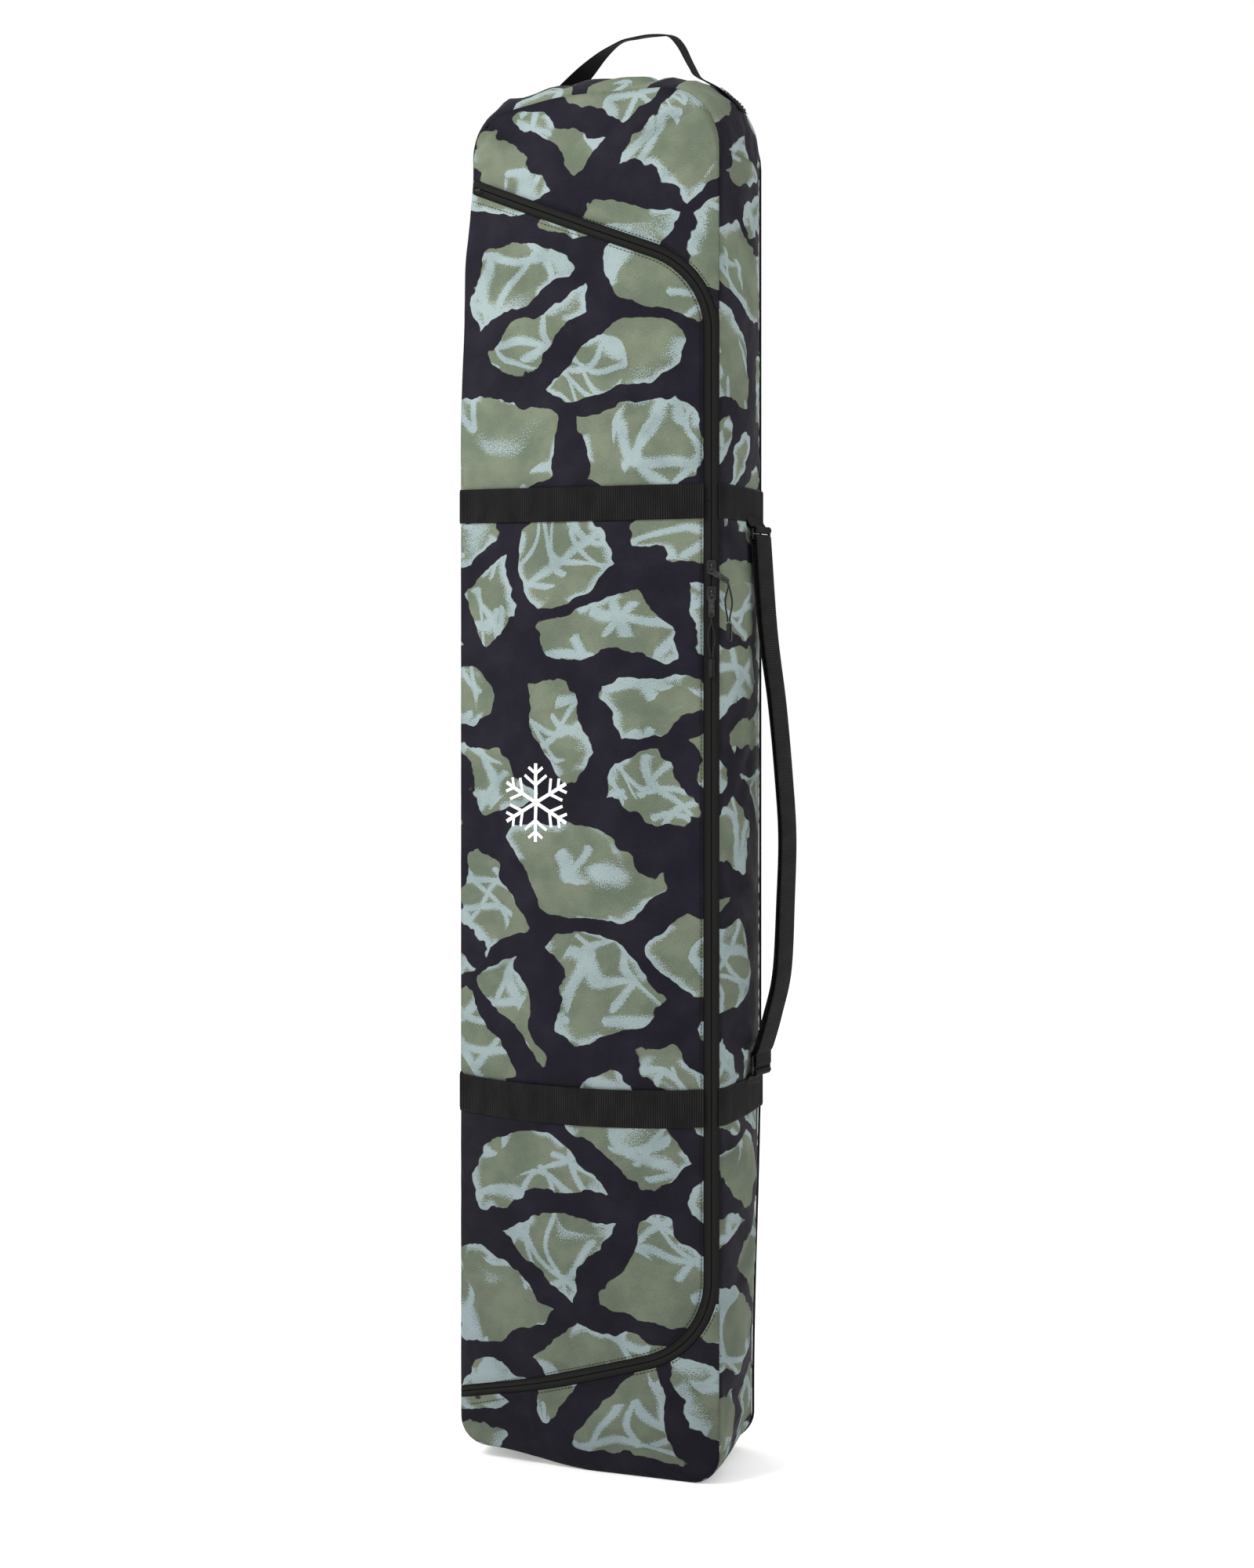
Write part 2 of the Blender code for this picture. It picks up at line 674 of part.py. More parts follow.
def make_strap_anchors():
    """Webbing patches sewn to the right gusset beside the bands, where the strap's tabs begin."""
    depth = 0.0068
    for label, low in (
        ("upper", BAND_HEIGHTS["upper"] - BAND_WIDTH / 2 - 0.0012 - depth),
        ("lower", BAND_HEIGHTS["lower"] + BAND_WIDTH / 2 + 0.0012),
    ):
        rows = []
        for across in (0.11, 0.23, 0.35, 0.47):
            row = []
            for z in (low, low + depth):
                place = (Vector((WIDTH / 2, z)), Vector((1, 0)))
                row.append(gusset_point(place, across, GAP + WEBBING))
            rows.append(row)
        sheet(f"strap_anchor_{label}", rows, WEBBING, "webbing")


# ---------------------------------------------------------------- sliders and pulls


def slider_frame(height):
    """Matrix of a slider: X across the zip, Y up it, Z away from the bag, origin on the tape."""
    step = 0.004
    left, right = front_point(ZIP_X - step, height), front_point(ZIP_X + step, height)
    across = (right - left).normalized()
    up = Vector((0, 0, 1))
    out = across.cross(up)
    place = front_point(ZIP_X, height) + out * SLIDER_LIFT
    turned = Matrix((across, up, out)).transposed().to_4x4()
    return Matrix.Translation(place) @ turned


def beveled_box(name, size, centre, bevel, material_name):
    shape = bmesh.new()
    bmesh.ops.create_cube(shape, size=1.0)
    bmesh.ops.scale(shape, vec=size, verts=shape.verts)
    bmesh.ops.translate(shape, vec=centre, verts=shape.verts)
    bmesh.ops.bevel(shape, geom=shape.edges[:], offset=bevel, segments=2, affect="EDGES")
    mesh = bpy.data.meshes.new(name)
    shape.to_mesh(mesh)
    shape.free()
    return add_object(name, mesh, material_name)


def as_mesh(obj):
    """A curve made a mesh with welded caps, keeping its name and place."""
    graph = bpy.context.evaluated_depsgraph_get()
    mesh = bpy.data.meshes.new_from_object(obj.evaluated_get(graph))
    shape = bmesh.new()
    shape.from_mesh(mesh)
    bmesh.ops.remove_doubles(shape, verts=shape.verts, dist=0.00001)
    shape.to_mesh(mesh)
    shape.free()
    name, place = obj.name, obj.matrix_world.copy()
    bpy.data.objects.remove(obj)
    made = bpy.data.objects.new(name, mesh)
    BAG.objects.link(made)
    made.matrix_world = place
    return made


def make_helper(obj):
    obj.hide_render = True
    obj.display_type = "WIRE"
    BAG.objects.unlink(obj)
    CUTTERS.objects.link(obj)


def boolean(obj, other, operation):
    step = obj.modifiers.new(operation.lower(), "BOOLEAN")
    step.operation = operation
    step.object = other
    make_helper(other)


def make_slider(label):
    """A zip slider: a waisted body with the bail that its pull hangs on."""
    place = slider_frame(SLIDER_HEIGHTS[label])
    size = (SLIDER_WIDTH, SLIDER_LENGTH, SLIDER_THICK)
    body = beveled_box(
        f"slider_{label}", size, (0, 0, SLIDER_THICK / 2), 0.0009, "slider_metal"
    )
    arch = []
    for i in range(13):
        angle = math.pi * i / 12
        arch.append(
            (0, BAIL_RADIUS * math.cos(angle), SLIDER_THICK + BAIL_RADIUS * math.sin(angle))
        )
    arch = [(0, BAIL_RADIUS, SLIDER_THICK / 2), *arch, (0, -BAIL_RADIUS, SLIDER_THICK / 2)]
    bail = as_mesh(tube(f"bail_{label}", arch, BAIL_WIRE, "slider_metal"))
    bpy.context.view_layer.update()
    body.matrix_world = place
    bail.matrix_world = place
    boolean(body, bail, "UNION")
    return place


def pull_outline():
    """Outline of a pull tab, hung from the origin down: a round eye and a plain rounded tongue."""
    half = PULL_WIDTH / 2
    points = []
    for i in range(9):
        angle = math.pi * i / 8
        points.append((half * math.cos(angle), half * math.sin(angle)))
    for i in range(9):
        angle = math.pi + math.pi * i / 8
        points.append((half * math.cos(angle), -PULL_LENGTH + 2 * half + half * math.sin(angle)))
    return points


def circle(radius, height, count=12):
    """Points of a circle about (0, height)."""
    turns = [2 * math.pi * i / count for i in range(count)]
    return [(radius * math.cos(a), height + radius * math.sin(a)) for a in turns]


def make_pull(label, place):
    """The tab on the slider's bail, the cord looped through its end, and the grip on the cord."""
    hang = place @ Matrix.Translation((0, -BAIL_RADIUS, SLIDER_THICK + PULL_THICK / 2 + 0.0008))
    hang = hang @ Matrix.Rotation(PULL_LEAN[label], 4, "Z")
    hole_drop = -PULL_LENGTH + PULL_WIDTH
    outlines = [pull_outline(), circle(0.0021, 0), circle(0.0019, hole_drop)]
    flat_piece(f"pull_tab_{label}", outlines, PULL_THICK, "slider_metal", hang)
    turned = hang.to_3x3()
    make_pull_cord(label, hang @ Vector((0, hole_drop, 0)), turned.col[2], -turned.col[1])


def make_pull_cord(label, hole, out, along):
    """A cord loop through the tab's hole that hangs open like an eye, with a moulded grip."""
    down = Vector((0, 0, -1))
    side = down.cross(out).normalized()
    start = hole + along * CORD_TURN
    back_leg, front_leg = [], []
    for i in range(11):
        share = i / 10
        centre = start + down * (CORD_DROP * share)
        deep = out * (CORD_TURN * (1 - share) ** 2)
        open_by = CORD_SPREAD * math.sin(math.pi * share) ** 2 + CORD_PINCH * share
        front_leg.append(centre + deep + side * open_by)
        back_leg.append(centre - deep - side * open_by)
    bow = [
        start + out * CORD_TURN * math.cos(a) - along * CORD_TURN * math.sin(a)
        for a in (math.pi * k / 6 for k in range(1, 6))
    ]
    points = front_leg[::-1] + bow + back_leg
    tube(f"pull_cord_{label}", points, CORD_RADIUS, "cord", sides=1)
    top = (front_leg[-1] + back_leg[-1]) / 2 + down * 0.0006
    grip = beveled_box(
        f"pull_grip_{label}",
        (2 * GRIP_RADIUS, 2 * GRIP_RADIUS * 0.8, GRIP_LENGTH),
        top + down * GRIP_LENGTH / 2,
        0.0014,
        "moulded_plastic",
    )
    smooth(grip)


def make_zip_stops():
    """The moulded end stops of the zip, on the fixed tape at its two ends."""
    path = zip_path()
    for label, place in (("upper", path[1]), ("lower", path[-2])):
        at = beside_zip(place, TAPE_HALF * 0.45)
        centre = front_point(at.x, at.y, GAP + 0.0011)
        beveled_box(
            f"zip_stop_{label}", (0.006, 0.0016, 0.003), centre, 0.0004, "coil_plastic"
        )


# ---------------------------------------------------------------- the whole bag


def make_zip():
    seam = 0.0006  # half the gap between the two tape halves
    zip_strip("zip_tape_flap", -TAPE_HALF, -seam, TAPE_THICK, "zip_tape")
    zip_strip("zip_tape_body", seam, TAPE_HALF, TAPE_THICK, "zip_tape")
    inside = TAPE_THICK + COIL_RADIUS + 2 * GAP
    for name, offset in (("zip_coil_flap", -0.0022), ("zip_coil_body", 0.0022)):
        points = []
        for place in zip_path()[1:-1]:
            at = beside_zip(place, offset)
            points.append(front_point(at.x, at.y, -inside))
        tube(name, points, COIL_RADIUS, "coil_plastic", sides=0)


def make_bag():
    make_flap_panel("flap_panel", TAPE_HALF + GAP, 0.0008, PANEL, "print_fabric")
    make_flap_panel(
        "flap_lining", TAPE_HALF + 0.004, 0.006, LINING, "lining_fabric", -PANEL - GAP
    )
    make_yoke("yoke_top", True)
    make_yoke("yoke_bottom", False)
    make_back_panel("back_panel", 0.0004, PANEL, "print_fabric")
    make_back_panel(
        "lining_back", PANEL + 4 * LINING, LINING, "lining_fabric", -PANEL - 2 * GAP
    )
    make_gussets()
    make_piping()
    make_zip()
    make_zip_stops()
    make_bands()
    make_handle()
    make_strap()
    make_strap_anchors()
    for label in ("upper", "lower"):
        make_pull(label, make_slider(label))


clear_scene()
BAG = new_collection("snowboard_bag")
CUTTERS = new_collection("cutters")
make_bag()
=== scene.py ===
"""The looks of the upright snowboard bag: printed shell, zip, webbing, handle, strap and pulls.

Everything is in metres in the CAD's own frame: the base is at z = 0 and the front faces -Y.
"""

import math

import bmesh
import bpy
import numpy as np
from mathutils import Matrix, Vector, noise
from mathutils.bvhtree import BVHTree


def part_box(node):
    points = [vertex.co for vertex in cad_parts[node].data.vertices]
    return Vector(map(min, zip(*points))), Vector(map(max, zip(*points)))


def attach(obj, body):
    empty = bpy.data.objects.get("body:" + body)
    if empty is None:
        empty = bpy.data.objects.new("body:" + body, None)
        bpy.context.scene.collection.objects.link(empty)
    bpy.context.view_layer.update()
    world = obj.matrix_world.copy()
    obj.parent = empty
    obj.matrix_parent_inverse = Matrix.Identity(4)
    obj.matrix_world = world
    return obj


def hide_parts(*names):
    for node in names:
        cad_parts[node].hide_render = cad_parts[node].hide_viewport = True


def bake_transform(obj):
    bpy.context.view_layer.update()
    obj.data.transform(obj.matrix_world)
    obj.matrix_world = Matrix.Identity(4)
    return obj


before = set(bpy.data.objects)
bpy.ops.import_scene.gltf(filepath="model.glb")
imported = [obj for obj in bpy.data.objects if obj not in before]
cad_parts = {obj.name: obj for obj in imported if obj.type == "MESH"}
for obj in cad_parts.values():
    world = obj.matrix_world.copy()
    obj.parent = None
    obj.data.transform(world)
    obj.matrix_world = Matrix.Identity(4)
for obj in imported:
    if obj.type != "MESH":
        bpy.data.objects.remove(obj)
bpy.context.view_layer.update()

# ---------------------------------------------------------------- sizes, read from the frame

WIDTH = 0.330
DEPTH = 0.150
HEIGHT = round(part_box("back_panel")[1].z, 2)
TOP_RADIUS = 0.075
BASE_RADIUS = 0.035
FRONT_CROWN = 0.026
BACK_CROWN = 0.014
SIDE_BULGE = 0.009
TOP_BULGE = 0.028
HANDLE_DIP = 0.38  # share of the top's bulge that the handle's right end pulls down
FABRIC = 0.0022
WEBBING = 0.0017
SEAM_TUCK = 0.0006  # how far a panel's edge stays short of its seam
SKIN_PROUD = 0.0009  # how far the front's cloth stands out of the CAD's surface

ZIP_TOP_Z = 1.520
ZIP_BOTTOM_Z = 0.070
ZIP_TOP_SLOPE = math.radians(-20.0)
ZIP_BOTTOM_SLOPE = math.radians(15.7)
ZIP_BEND = 0.100  # radius of the zip's two bends
TAPE_HALF = 0.0090
ZIP_X = WIDTH / 2 - TAPE_HALF

BANDS = {
    label: (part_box(f"band_flap_{label}")[0].z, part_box(f"band_flap_{label}")[1].z)
    for label in ("upper", "lower")
}

FRONT, BACK, LEFT, RIGHT, UP = (
    Vector((0, -1, 0)),
    Vector((0, 1, 0)),
    Vector((-1, 0, 0)),
    Vector((1, 0, 0)),
    Vector((0, 0, 1)),
)


# ---------------------------------------------------------------- camera, light and floor

VIEW_AZIMUTH = math.radians(20.5)
CAMERA_DISTANCE = 3.028  # to the middle of the base
CAMERA_ASIDE = 0.0213
CAMERA_HEIGHT = 0.9457
LENS = 57.7
FRAMING_SHIFT = -0.075
ROOM_LIGHT = 0.72  # brightness of the room on the camera's side, beside the backdrop's 1


def make_camera():
    ahead = Vector((-math.sin(VIEW_AZIMUTH), math.cos(VIEW_AZIMUTH), 0))
    aside = Vector((math.cos(VIEW_AZIMUTH), math.sin(VIEW_AZIMUTH), 0))
    data = bpy.data.cameras.new("camera")
    data.lens = LENS
    data.sensor_width = 36.0
    data.shift_y = FRAMING_SHIFT
    data.clip_end = 60
    camera = link("camera", data)
    camera.location = aside * CAMERA_ASIDE - ahead * CAMERA_DISTANCE + UP * CAMERA_HEIGHT
    camera.rotation_euler = (math.pi / 2, 0, VIEW_AZIMUTH)
    bpy.context.scene.camera = camera


def make_light(name, place, aim, size, power):
    data = bpy.data.lights.new(name, "AREA")
    data.shape = "RECTANGLE"
    data.size, data.size_y = size
    data.energy = power
    light = link(name, data)
    light.location = place
    light.rotation_euler = (Vector(aim) - Vector(place)).to_track_quat("-Z", "Y").to_euler()


def make_backdrop():
    """A white cyclorama: the room it lights the bag with is dimmer on the camera's side."""
    world = bpy.data.worlds.new("studio")
    world.use_nodes = True
    tree = world.node_tree
    sky = tree.nodes["Background"]
    where = tree.nodes.new("ShaderNodeTexCoord")
    along = tree.nodes.new("ShaderNodeVectorMath")
    along.operation = "DOT_PRODUCT"
    along.inputs[1].default_value = (-math.sin(VIEW_AZIMUTH), math.cos(VIEW_AZIMUTH), 0)
    fade = tree.nodes.new("ShaderNodeMapRange")
    fade.inputs["From Min"].default_value = -0.3
    fade.inputs["From Max"].default_value = 0.6
    fade.inputs["To Min"].default_value = ROOM_LIGHT
    fade.inputs["To Max"].default_value = 1.0
    tree.links.new(where.outputs["Generated"], along.inputs[0])
    tree.links.new(along.outputs["Value"], fade.inputs["Value"])
    seen = tree.nodes.new("ShaderNodeMath")
    seen.operation = "MAXIMUM"
    rays = tree.nodes.new("ShaderNodeLightPath")
    tree.links.new(fade.outputs["Result"], seen.inputs[0])
    tree.links.new(rays.outputs["Is Camera Ray"], seen.inputs[1])
    tree.links.new(seen.outputs["Value"], sky.inputs["Strength"])
    sky.inputs["Color"].default_value = (1, 1, 1, 1)
    bpy.context.scene.world = world


LIGHTS = [
    # name, place, the point it aims at, size, power in watts
    ("key", (-1.7, -2.4, 3.4), (0, 0, 1.15), (1.2, 1.2), 100),
    ("fill", (2.0, -3.6, 2.2), (0, 0, 1.1), (2.2, 2.2), 16),
    ("side", (3.4, -0.4, 2.6), (0.1, 0, 1.1), (1.0, 2.0), 10),
    ("rim", (-2.2, 2.8, 2.8), (0, 0, 1.0), (1.6, 2.0), 20),
]
FLOOR_REACH = 14
FLOOR_GLOW = 0.30  # lifts the floor to the backdrop's white


def make_studio():
    for each in LIGHTS:
        make_light(*each)
    make_backdrop()
    bpy.context.scene.view_settings.view_transform = "Standard"
    floor = bpy.data.meshes.new("floor")
    shape = bmesh.new()
    bmesh.ops.create_grid(shape, x_segments=1, y_segments=1, size=FLOOR_REACH)
    shape.to_mesh(floor)
    shape.free()
    tone = bpy.data.materials.new("floor")
    tone.use_nodes = True
    shader = tone.node_tree.nodes["Principled BSDF"]
    shader.inputs["Base Color"].default_value = (0.93, 0.93, 0.93, 1)
    shader.inputs["Roughness"].default_value = 0.9
    shader.inputs["Emission Color"].default_value = (1, 1, 1, 1)
    shader.inputs["Emission Strength"].default_value = FLOOR_GLOW
    ground = link("floor", floor, tone)
    ground.location.z = -0.0005


# ---------------------------------------------------------------- materials


class Nodes:
    """Short forms for building a material's node tree."""

    def __init__(self, name):
        self.material = bpy.data.materials.new(name)
        self.material.use_nodes = True
        self.tree = self.material.node_tree
        self.shader = self.tree.nodes["Principled BSDF"]

    def add(self, kind, **settings):
        node = self.tree.nodes.new(kind)
        for key, value in settings.items():
            setattr(node, key, value)
        return node

    def link(self, output, target):
        self.tree.links.new(output, target)

    def feed(self, target, value):
        if isinstance(value, bpy.types.NodeSocket):
            self.link(value, target)
        else:
            target.default_value = value

    def math(self, operation, first, second=0.0, third=0.5):
        node = self.add("ShaderNodeMath", operation=operation)
        for socket, value in zip(node.inputs, (first, second, third)):
            self.feed(socket, value)
        return node.outputs[0]

    def vector(self, operation, first, second):
        node = self.add("ShaderNodeVectorMath", operation=operation)
        self.feed(node.inputs[0], first)
        self.feed(node.inputs[1], second)
        return node.outputs[0]

    def scaled(self, vector, factors):
        return self.vector("MULTIPLY", vector, factors)

    def noise(self, vector, scale, detail=2.0, roughness=0.5, colour=False):
        node = self.add("ShaderNodeTexNoise")
        self.link(vector, node.inputs["Vector"])
        node.inputs["Scale"].default_value = scale
        node.inputs["Detail"].default_value = detail
        node.inputs["Roughness"].default_value = roughness
        return node.outputs["Color" if colour else "Fac"]

    def warped(self, vector, where, scale, reach):
        """vector moved about by noise read at where."""
        drift = self.noise(where, scale, 1.0, 0.5, colour=True)
        drift = self.vector("SUBTRACT", drift, (0.5, 0.5, 0.5))
        return self.vector("ADD", vector, self.scaled(drift, reach))

    def wave(self, vector, direction, scale, **settings):
        node = self.add("ShaderNodeTexWave", bands_direction=direction, **settings)
        self.link(vector, node.inputs["Vector"])
        node.inputs["Scale"].default_value = scale
        return node.outputs["Fac"]

    def step(self, value, low, high):
        """0 below low, 1 above high, smooth between."""
        node = self.add("ShaderNodeMapRange", interpolation_type="SMOOTHSTEP")
        self.feed(node.inputs["Value"], value)
        self.feed(node.inputs["From Min"], low)
        self.feed(node.inputs["From Max"], high)
        return node.outputs["Result"]

    def mix(self, share, first, second):
        node = self.add("ShaderNodeMix", data_type="RGBA")
        self.feed(node.inputs["Factor"], share)
        self.feed(node.inputs["A"], first)
        self.feed(node.inputs["B"], second)
        return node.outputs["Result"]

    def flat(self):
        """The piece's flat-cloth coordinates, in metres."""
        return self.add("ShaderNodeUVMap", uv_map="flat").outputs["UV"]

    def place(self):
        return self.add("ShaderNodeTexCoord").outputs["Object"]

    def bump(self, height, distance, strength=1.0, under=None):
        node = self.add("ShaderNodeBump")
        self.feed(node.inputs["Height"], height)
        node.inputs["Distance"].default_value = distance
        node.inputs["Strength"].default_value = strength
        if under is not None:
            self.link(under, node.inputs["Normal"])
        return node.outputs["Normal"]

    def finish(self, colour, roughness, normal=None, sheen=0.0, metallic=0.0, specular=0.5):
        self.feed(self.shader.inputs["Base Color"], colour)
        self.feed(self.shader.inputs["Roughness"], roughness)
        self.shader.inputs["Sheen Weight"].default_value = sheen
        self.shader.inputs["Sheen Roughness"].default_value = 0.5
        self.shader.inputs["Metallic"].default_value = metallic
        self.shader.inputs["Specular IOR Level"].default_value = specular
        if normal is not None:
            self.link(normal, self.shader.inputs["Normal"])
        return self.material


GROUND = (0.0095, 0.0083, 0.0140, 1)
GROUND_PALE = (0.0170, 0.0150, 0.0225, 1)
SAGE = (0.168, 0.196, 0.138, 1)
SAGE_DARK = (0.112, 0.137, 0.098, 1)
MIST = (0.300, 0.370, 0.372, 1)
MIST_DARK = (0.225, 0.285, 0.285, 1)


def brushed_strokes(n, where, cell, grain, angle, spacing, half_width, kept):
    """Dry-brushed parallel strokes, 1 on a stroke: each cell has its own, and some are missing."""
    bow = n.noise(where, 7.0, 1.0)
    shifted = n.vector("ADD", where, n.scaled(cell, (0.31, 0.37, 0)))
    along = n.add("ShaderNodeVectorMath", operation="DOT_PRODUCT")
    n.link(shifted, along.inputs[0])
    along.inputs[1].default_value = (math.cos(angle) / spacing, math.sin(angle) / spacing, 0)
    place = n.math("MULTIPLY_ADD", bow, 0.15 / spacing, along.outputs["Value"])
    away = n.math("MULTIPLY", n.math("PINGPONG", place, 0.5), spacing)
    drawn = n.step(n.noise(shifted, 11.0, 0.0), 1 - kept - 0.015, 1 - kept + 0.015)
    reach = n.math("MULTIPLY_ADD", drawn, half_width + 0.006, -0.006)
    depth = n.math("SUBTRACT", reach, away)
    speckled = n.math("MULTIPLY_ADD", grain, 0.0095, depth)
    return n.step(speckled, -0.0004, 0.0004)


PATCHES_PER_METRE = 9.6
STROKES = [
    # angle, spacing, half width and share kept of each family of brush strokes
    (0.35, 0.052, 0.0052, 0.53),
    (1.30, 0.046, 0.0054, 0.53),
    (2.35, 0.062, 0.0048, 0.50),
]


def print_material():
    """Printed twill: sage patches parted by dark channels, with dry-brushed pale strokes on them,
    and painted shade darkening it towards the base.
    """
    n = Nodes("print_fabric")
    flat = n.flat()
    moved = n.warped(flat, flat, 7.0, (0.10, 0.08, 0))
    bent = n.warped(moved, flat, 26.0, (0.030, 0.026, 0))
    ragged = n.warped(bent, flat, 75.0, (0.0085, 0.0085, 0))
    stretched = n.scaled(ragged, (0.66, 0.98, 1))

    cells = n.add("ShaderNodeTexVoronoi", feature="DISTANCE_TO_EDGE", voronoi_dimensions="2D")
    chosen = n.add("ShaderNodeTexVoronoi", feature="F1", voronoi_dimensions="2D")
    for voronoi in (cells, chosen):
        n.link(stretched, voronoi.inputs["Vector"])
        voronoi.inputs["Scale"].default_value = PATCHES_PER_METRE
    channel = n.math("MULTIPLY_ADD", n.noise(flat, 8.0, 1.0), 0.40, -0.082)
    channel = n.math("MAXIMUM", channel, 0.035)
    rounded = n.math("SUBTRACT", 0.62, chosen.outputs["Distance"])
    edge = n.math("SUBTRACT", cells.outputs["Distance"], channel)
    inside = n.math("SMOOTH_MIN", edge, rounded, 0.10)
    patch = n.step(inside, -0.004, 0.004)

    speck = n.noise(n.scaled(flat, (1.0, 0.70, 1)), 950.0, 0.0)
    grain = n.math("SUBTRACT", speck, 0.5)
    cell = chosen.outputs["Color"]
    steep, level, slant = (brushed_strokes(n, moved, cell, grain, *each) for each in STROKES)
    wash = n.math("MULTIPLY_ADD", grain, 0.12, n.noise(n.scaled(moved, (0.8, 1.0, 1)), 11.0, 1.5))
    washed = n.step(wash, 0.675, 0.690)
    rim_depth = n.math("MULTIPLY_ADD", grain, -0.16, inside)
    rim = n.math("SUBTRACT", 1.0, n.step(rim_depth, 0.060, 0.068))
    rim = n.math("MULTIPLY", rim, n.step(n.noise(flat, 9.0, 1.0), 0.53, 0.56))
    strokes = n.math("MAXIMUM", steep, n.math("MAXIMUM", level, slant))
    pale = n.math("MAXIMUM", strokes, n.math("MAXIMUM", washed, rim))

    tone = n.noise(flat, 18.0, 3.0, 0.6)
    shade = n.math("MULTIPLY_ADD", grain, 0.45, tone)
    sage = n.mix(n.step(shade, 0.30, 0.70), SAGE_DARK, SAGE)
    mist = n.mix(n.step(shade, 0.28, 0.60), MIST_DARK, MIST)
    ground = n.mix(n.step(shade, 0.35, 0.80), GROUND, GROUND_PALE)
    printed = n.mix(patch, ground, n.mix(pale, sage, mist))
    # Painted shade: the print is multiplied darker the lower it lies in each piece's flat
    # coordinates, standing in for the light falling off towards the base.
    height = n.add("ShaderNodeSeparateXYZ")
    n.link(flat, height.inputs["Vector"])
    painted_low_shade = n.add("ShaderNodeMixRGB", blend_type="MULTIPLY")
    n.link(printed, painted_low_shade.inputs["Color1"])
    n.feed(painted_low_shade.inputs["Fac"], n.math("SUBTRACT", 1.0, n.step(height.outputs["Y"], -0.1, 1.3)))
    painted_low_shade.inputs["Color2"].default_value = (0.76, 0.76, 0.78, 1)
    colour = painted_low_shade.outputs["Color"]

    twill = n.wave(flat, "DIAGONAL", 300.0)
    twill.node.inputs["Distortion"].default_value = 0.6
    weave = n.bump(twill, 0.0003, 0.7)
    crush = n.bump(n.noise(flat, 60.0, 3.0, 0.55), 0.0022, 0.55, under=weave)
    roughness = n.math("MULTIPLY_ADD", n.noise(flat, 40.0, 2.0), 0.12, 0.60)
    return n.finish(colour, roughness, crush, specular=0.07)


def lining_material():
    """Plain black lining with a fine ripstop check."""
    n = Nodes("lining_fabric")
    place = n.place()
    check = n.add("ShaderNodeTexBrick", offset=0.0, squash=1.0)
    turned = n.add("ShaderNodeMapping")
    n.link(place, turned.inputs["Vector"])
    turned.inputs["Rotation"].default_value = (math.pi / 2, 0, 0)
    n.link(turned.outputs["Vector"], check.inputs["Vector"])
    check.inputs["Scale"].default_value = 110.0
    check.inputs["Mortar Size"].default_value = 0.04
    check.inputs["Brick Width"].default_value = 0.5
    check.inputs["Row Height"].default_value = 0.5
    check.inputs["Color1"].default_value = (0.016, 0.016, 0.018, 1)
    check.inputs["Color2"].default_value = (0.019, 0.019, 0.021, 1)
    check.inputs["Mortar"].default_value = (0.034, 0.034, 0.038, 1)
    normal = n.bump(check.outputs["Fac"], 0.0003, 0.6)
    soft = n.bump(n.noise(place, 45.0, 3.0), 0.002, 0.5, under=normal)
    return n.finish(check.outputs["Color"], 0.7, soft, sheen=0.05)


WAVE_SCALE = math.pi / 10  # the wave texture's scale for bands 1 m apart
YARN_PITCH = 0.0011


def webbing_material():
    """Ribbed webbing: ribs across its length, fine yarns along it, with painted highlights on the
    rib crests. flat is (along, across).
    """
    n = Nodes("webbing")
    flat = n.flat()
    ribs = n.wave(flat, "X", WAVE_SCALE / RIB_PITCH)
    yarns = n.wave(flat, "Y", WAVE_SCALE / YARN_PITCH)
    fuzz = n.noise(flat, 900.0, 2.0)
    dull = n.noise(n.scaled(flat, (1.0, 0.4, 1)), 60.0, 2.0)
    # Painted highlight: the rib crests are coloured paler, in patches, where light would catch them;
    # the yarn fuzz adds a real mottle on top.
    crest = n.math("POWER", ribs, 3.0)
    painted_crest_shine = n.math("MULTIPLY", crest, n.step(dull, 0.15, 0.85))
    lit = n.math("MULTIPLY_ADD", painted_crest_shine, 0.85, n.math("MULTIPLY", fuzz, 0.20))
    colour = n.mix(lit, (0.0018, 0.0018, 0.0019, 1), (0.0270, 0.0265, 0.0255, 1))
    height = n.bump(ribs, 0.0003, 0.6)
    yarn = n.bump(yarns, 0.00025, 0.5, under=height)
    return n.finish(colour, 0.72, yarn, specular=0.10)


def tape_material():
    """Zip tape: a close herringbone with a slightly paler nap."""
    n = Nodes("zip_tape")
    flat = n.flat()
    bone = n.wave(n.vector("ABSOLUTE", flat, (0, 0, 0)), "DIAGONAL", 260.0)
    fuzz = n.noise(flat, 1200.0, 2.0)
    share = n.math("MULTIPLY_ADD", bone, 0.35, n.math("MULTIPLY", fuzz, 0.65))
    colour = n.mix(share, (0.0045, 0.0045, 0.0043, 1), (0.0130, 0.0130, 0.0120, 1))
    normal = n.bump(bone, 0.0002, 0.6)
    return n.finish(colour, 0.74, normal, specular=0.12)


def plastic_material(name, colour, roughness, specular=0.5):
    """Moulded plastic with the faint unevenness of its mould and rubbed, duller patches."""
    n = Nodes(name)
    place = n.place()
    rub = n.noise(place, 160.0, 3.0, 0.6)
    tone = n.mix(n.step(rub, 0.35, 0.75), colour, tuple(min(1, c * 1.7) for c in colour[:3]) + (1,))
    rough = n.math("MULTIPLY_ADD", rub, 0.16, roughness)
    normal = n.bump(n.noise(place, 420.0, 2.0), 0.00008, 0.6)
    return n.finish(tone, rough, normal, specular=specular)


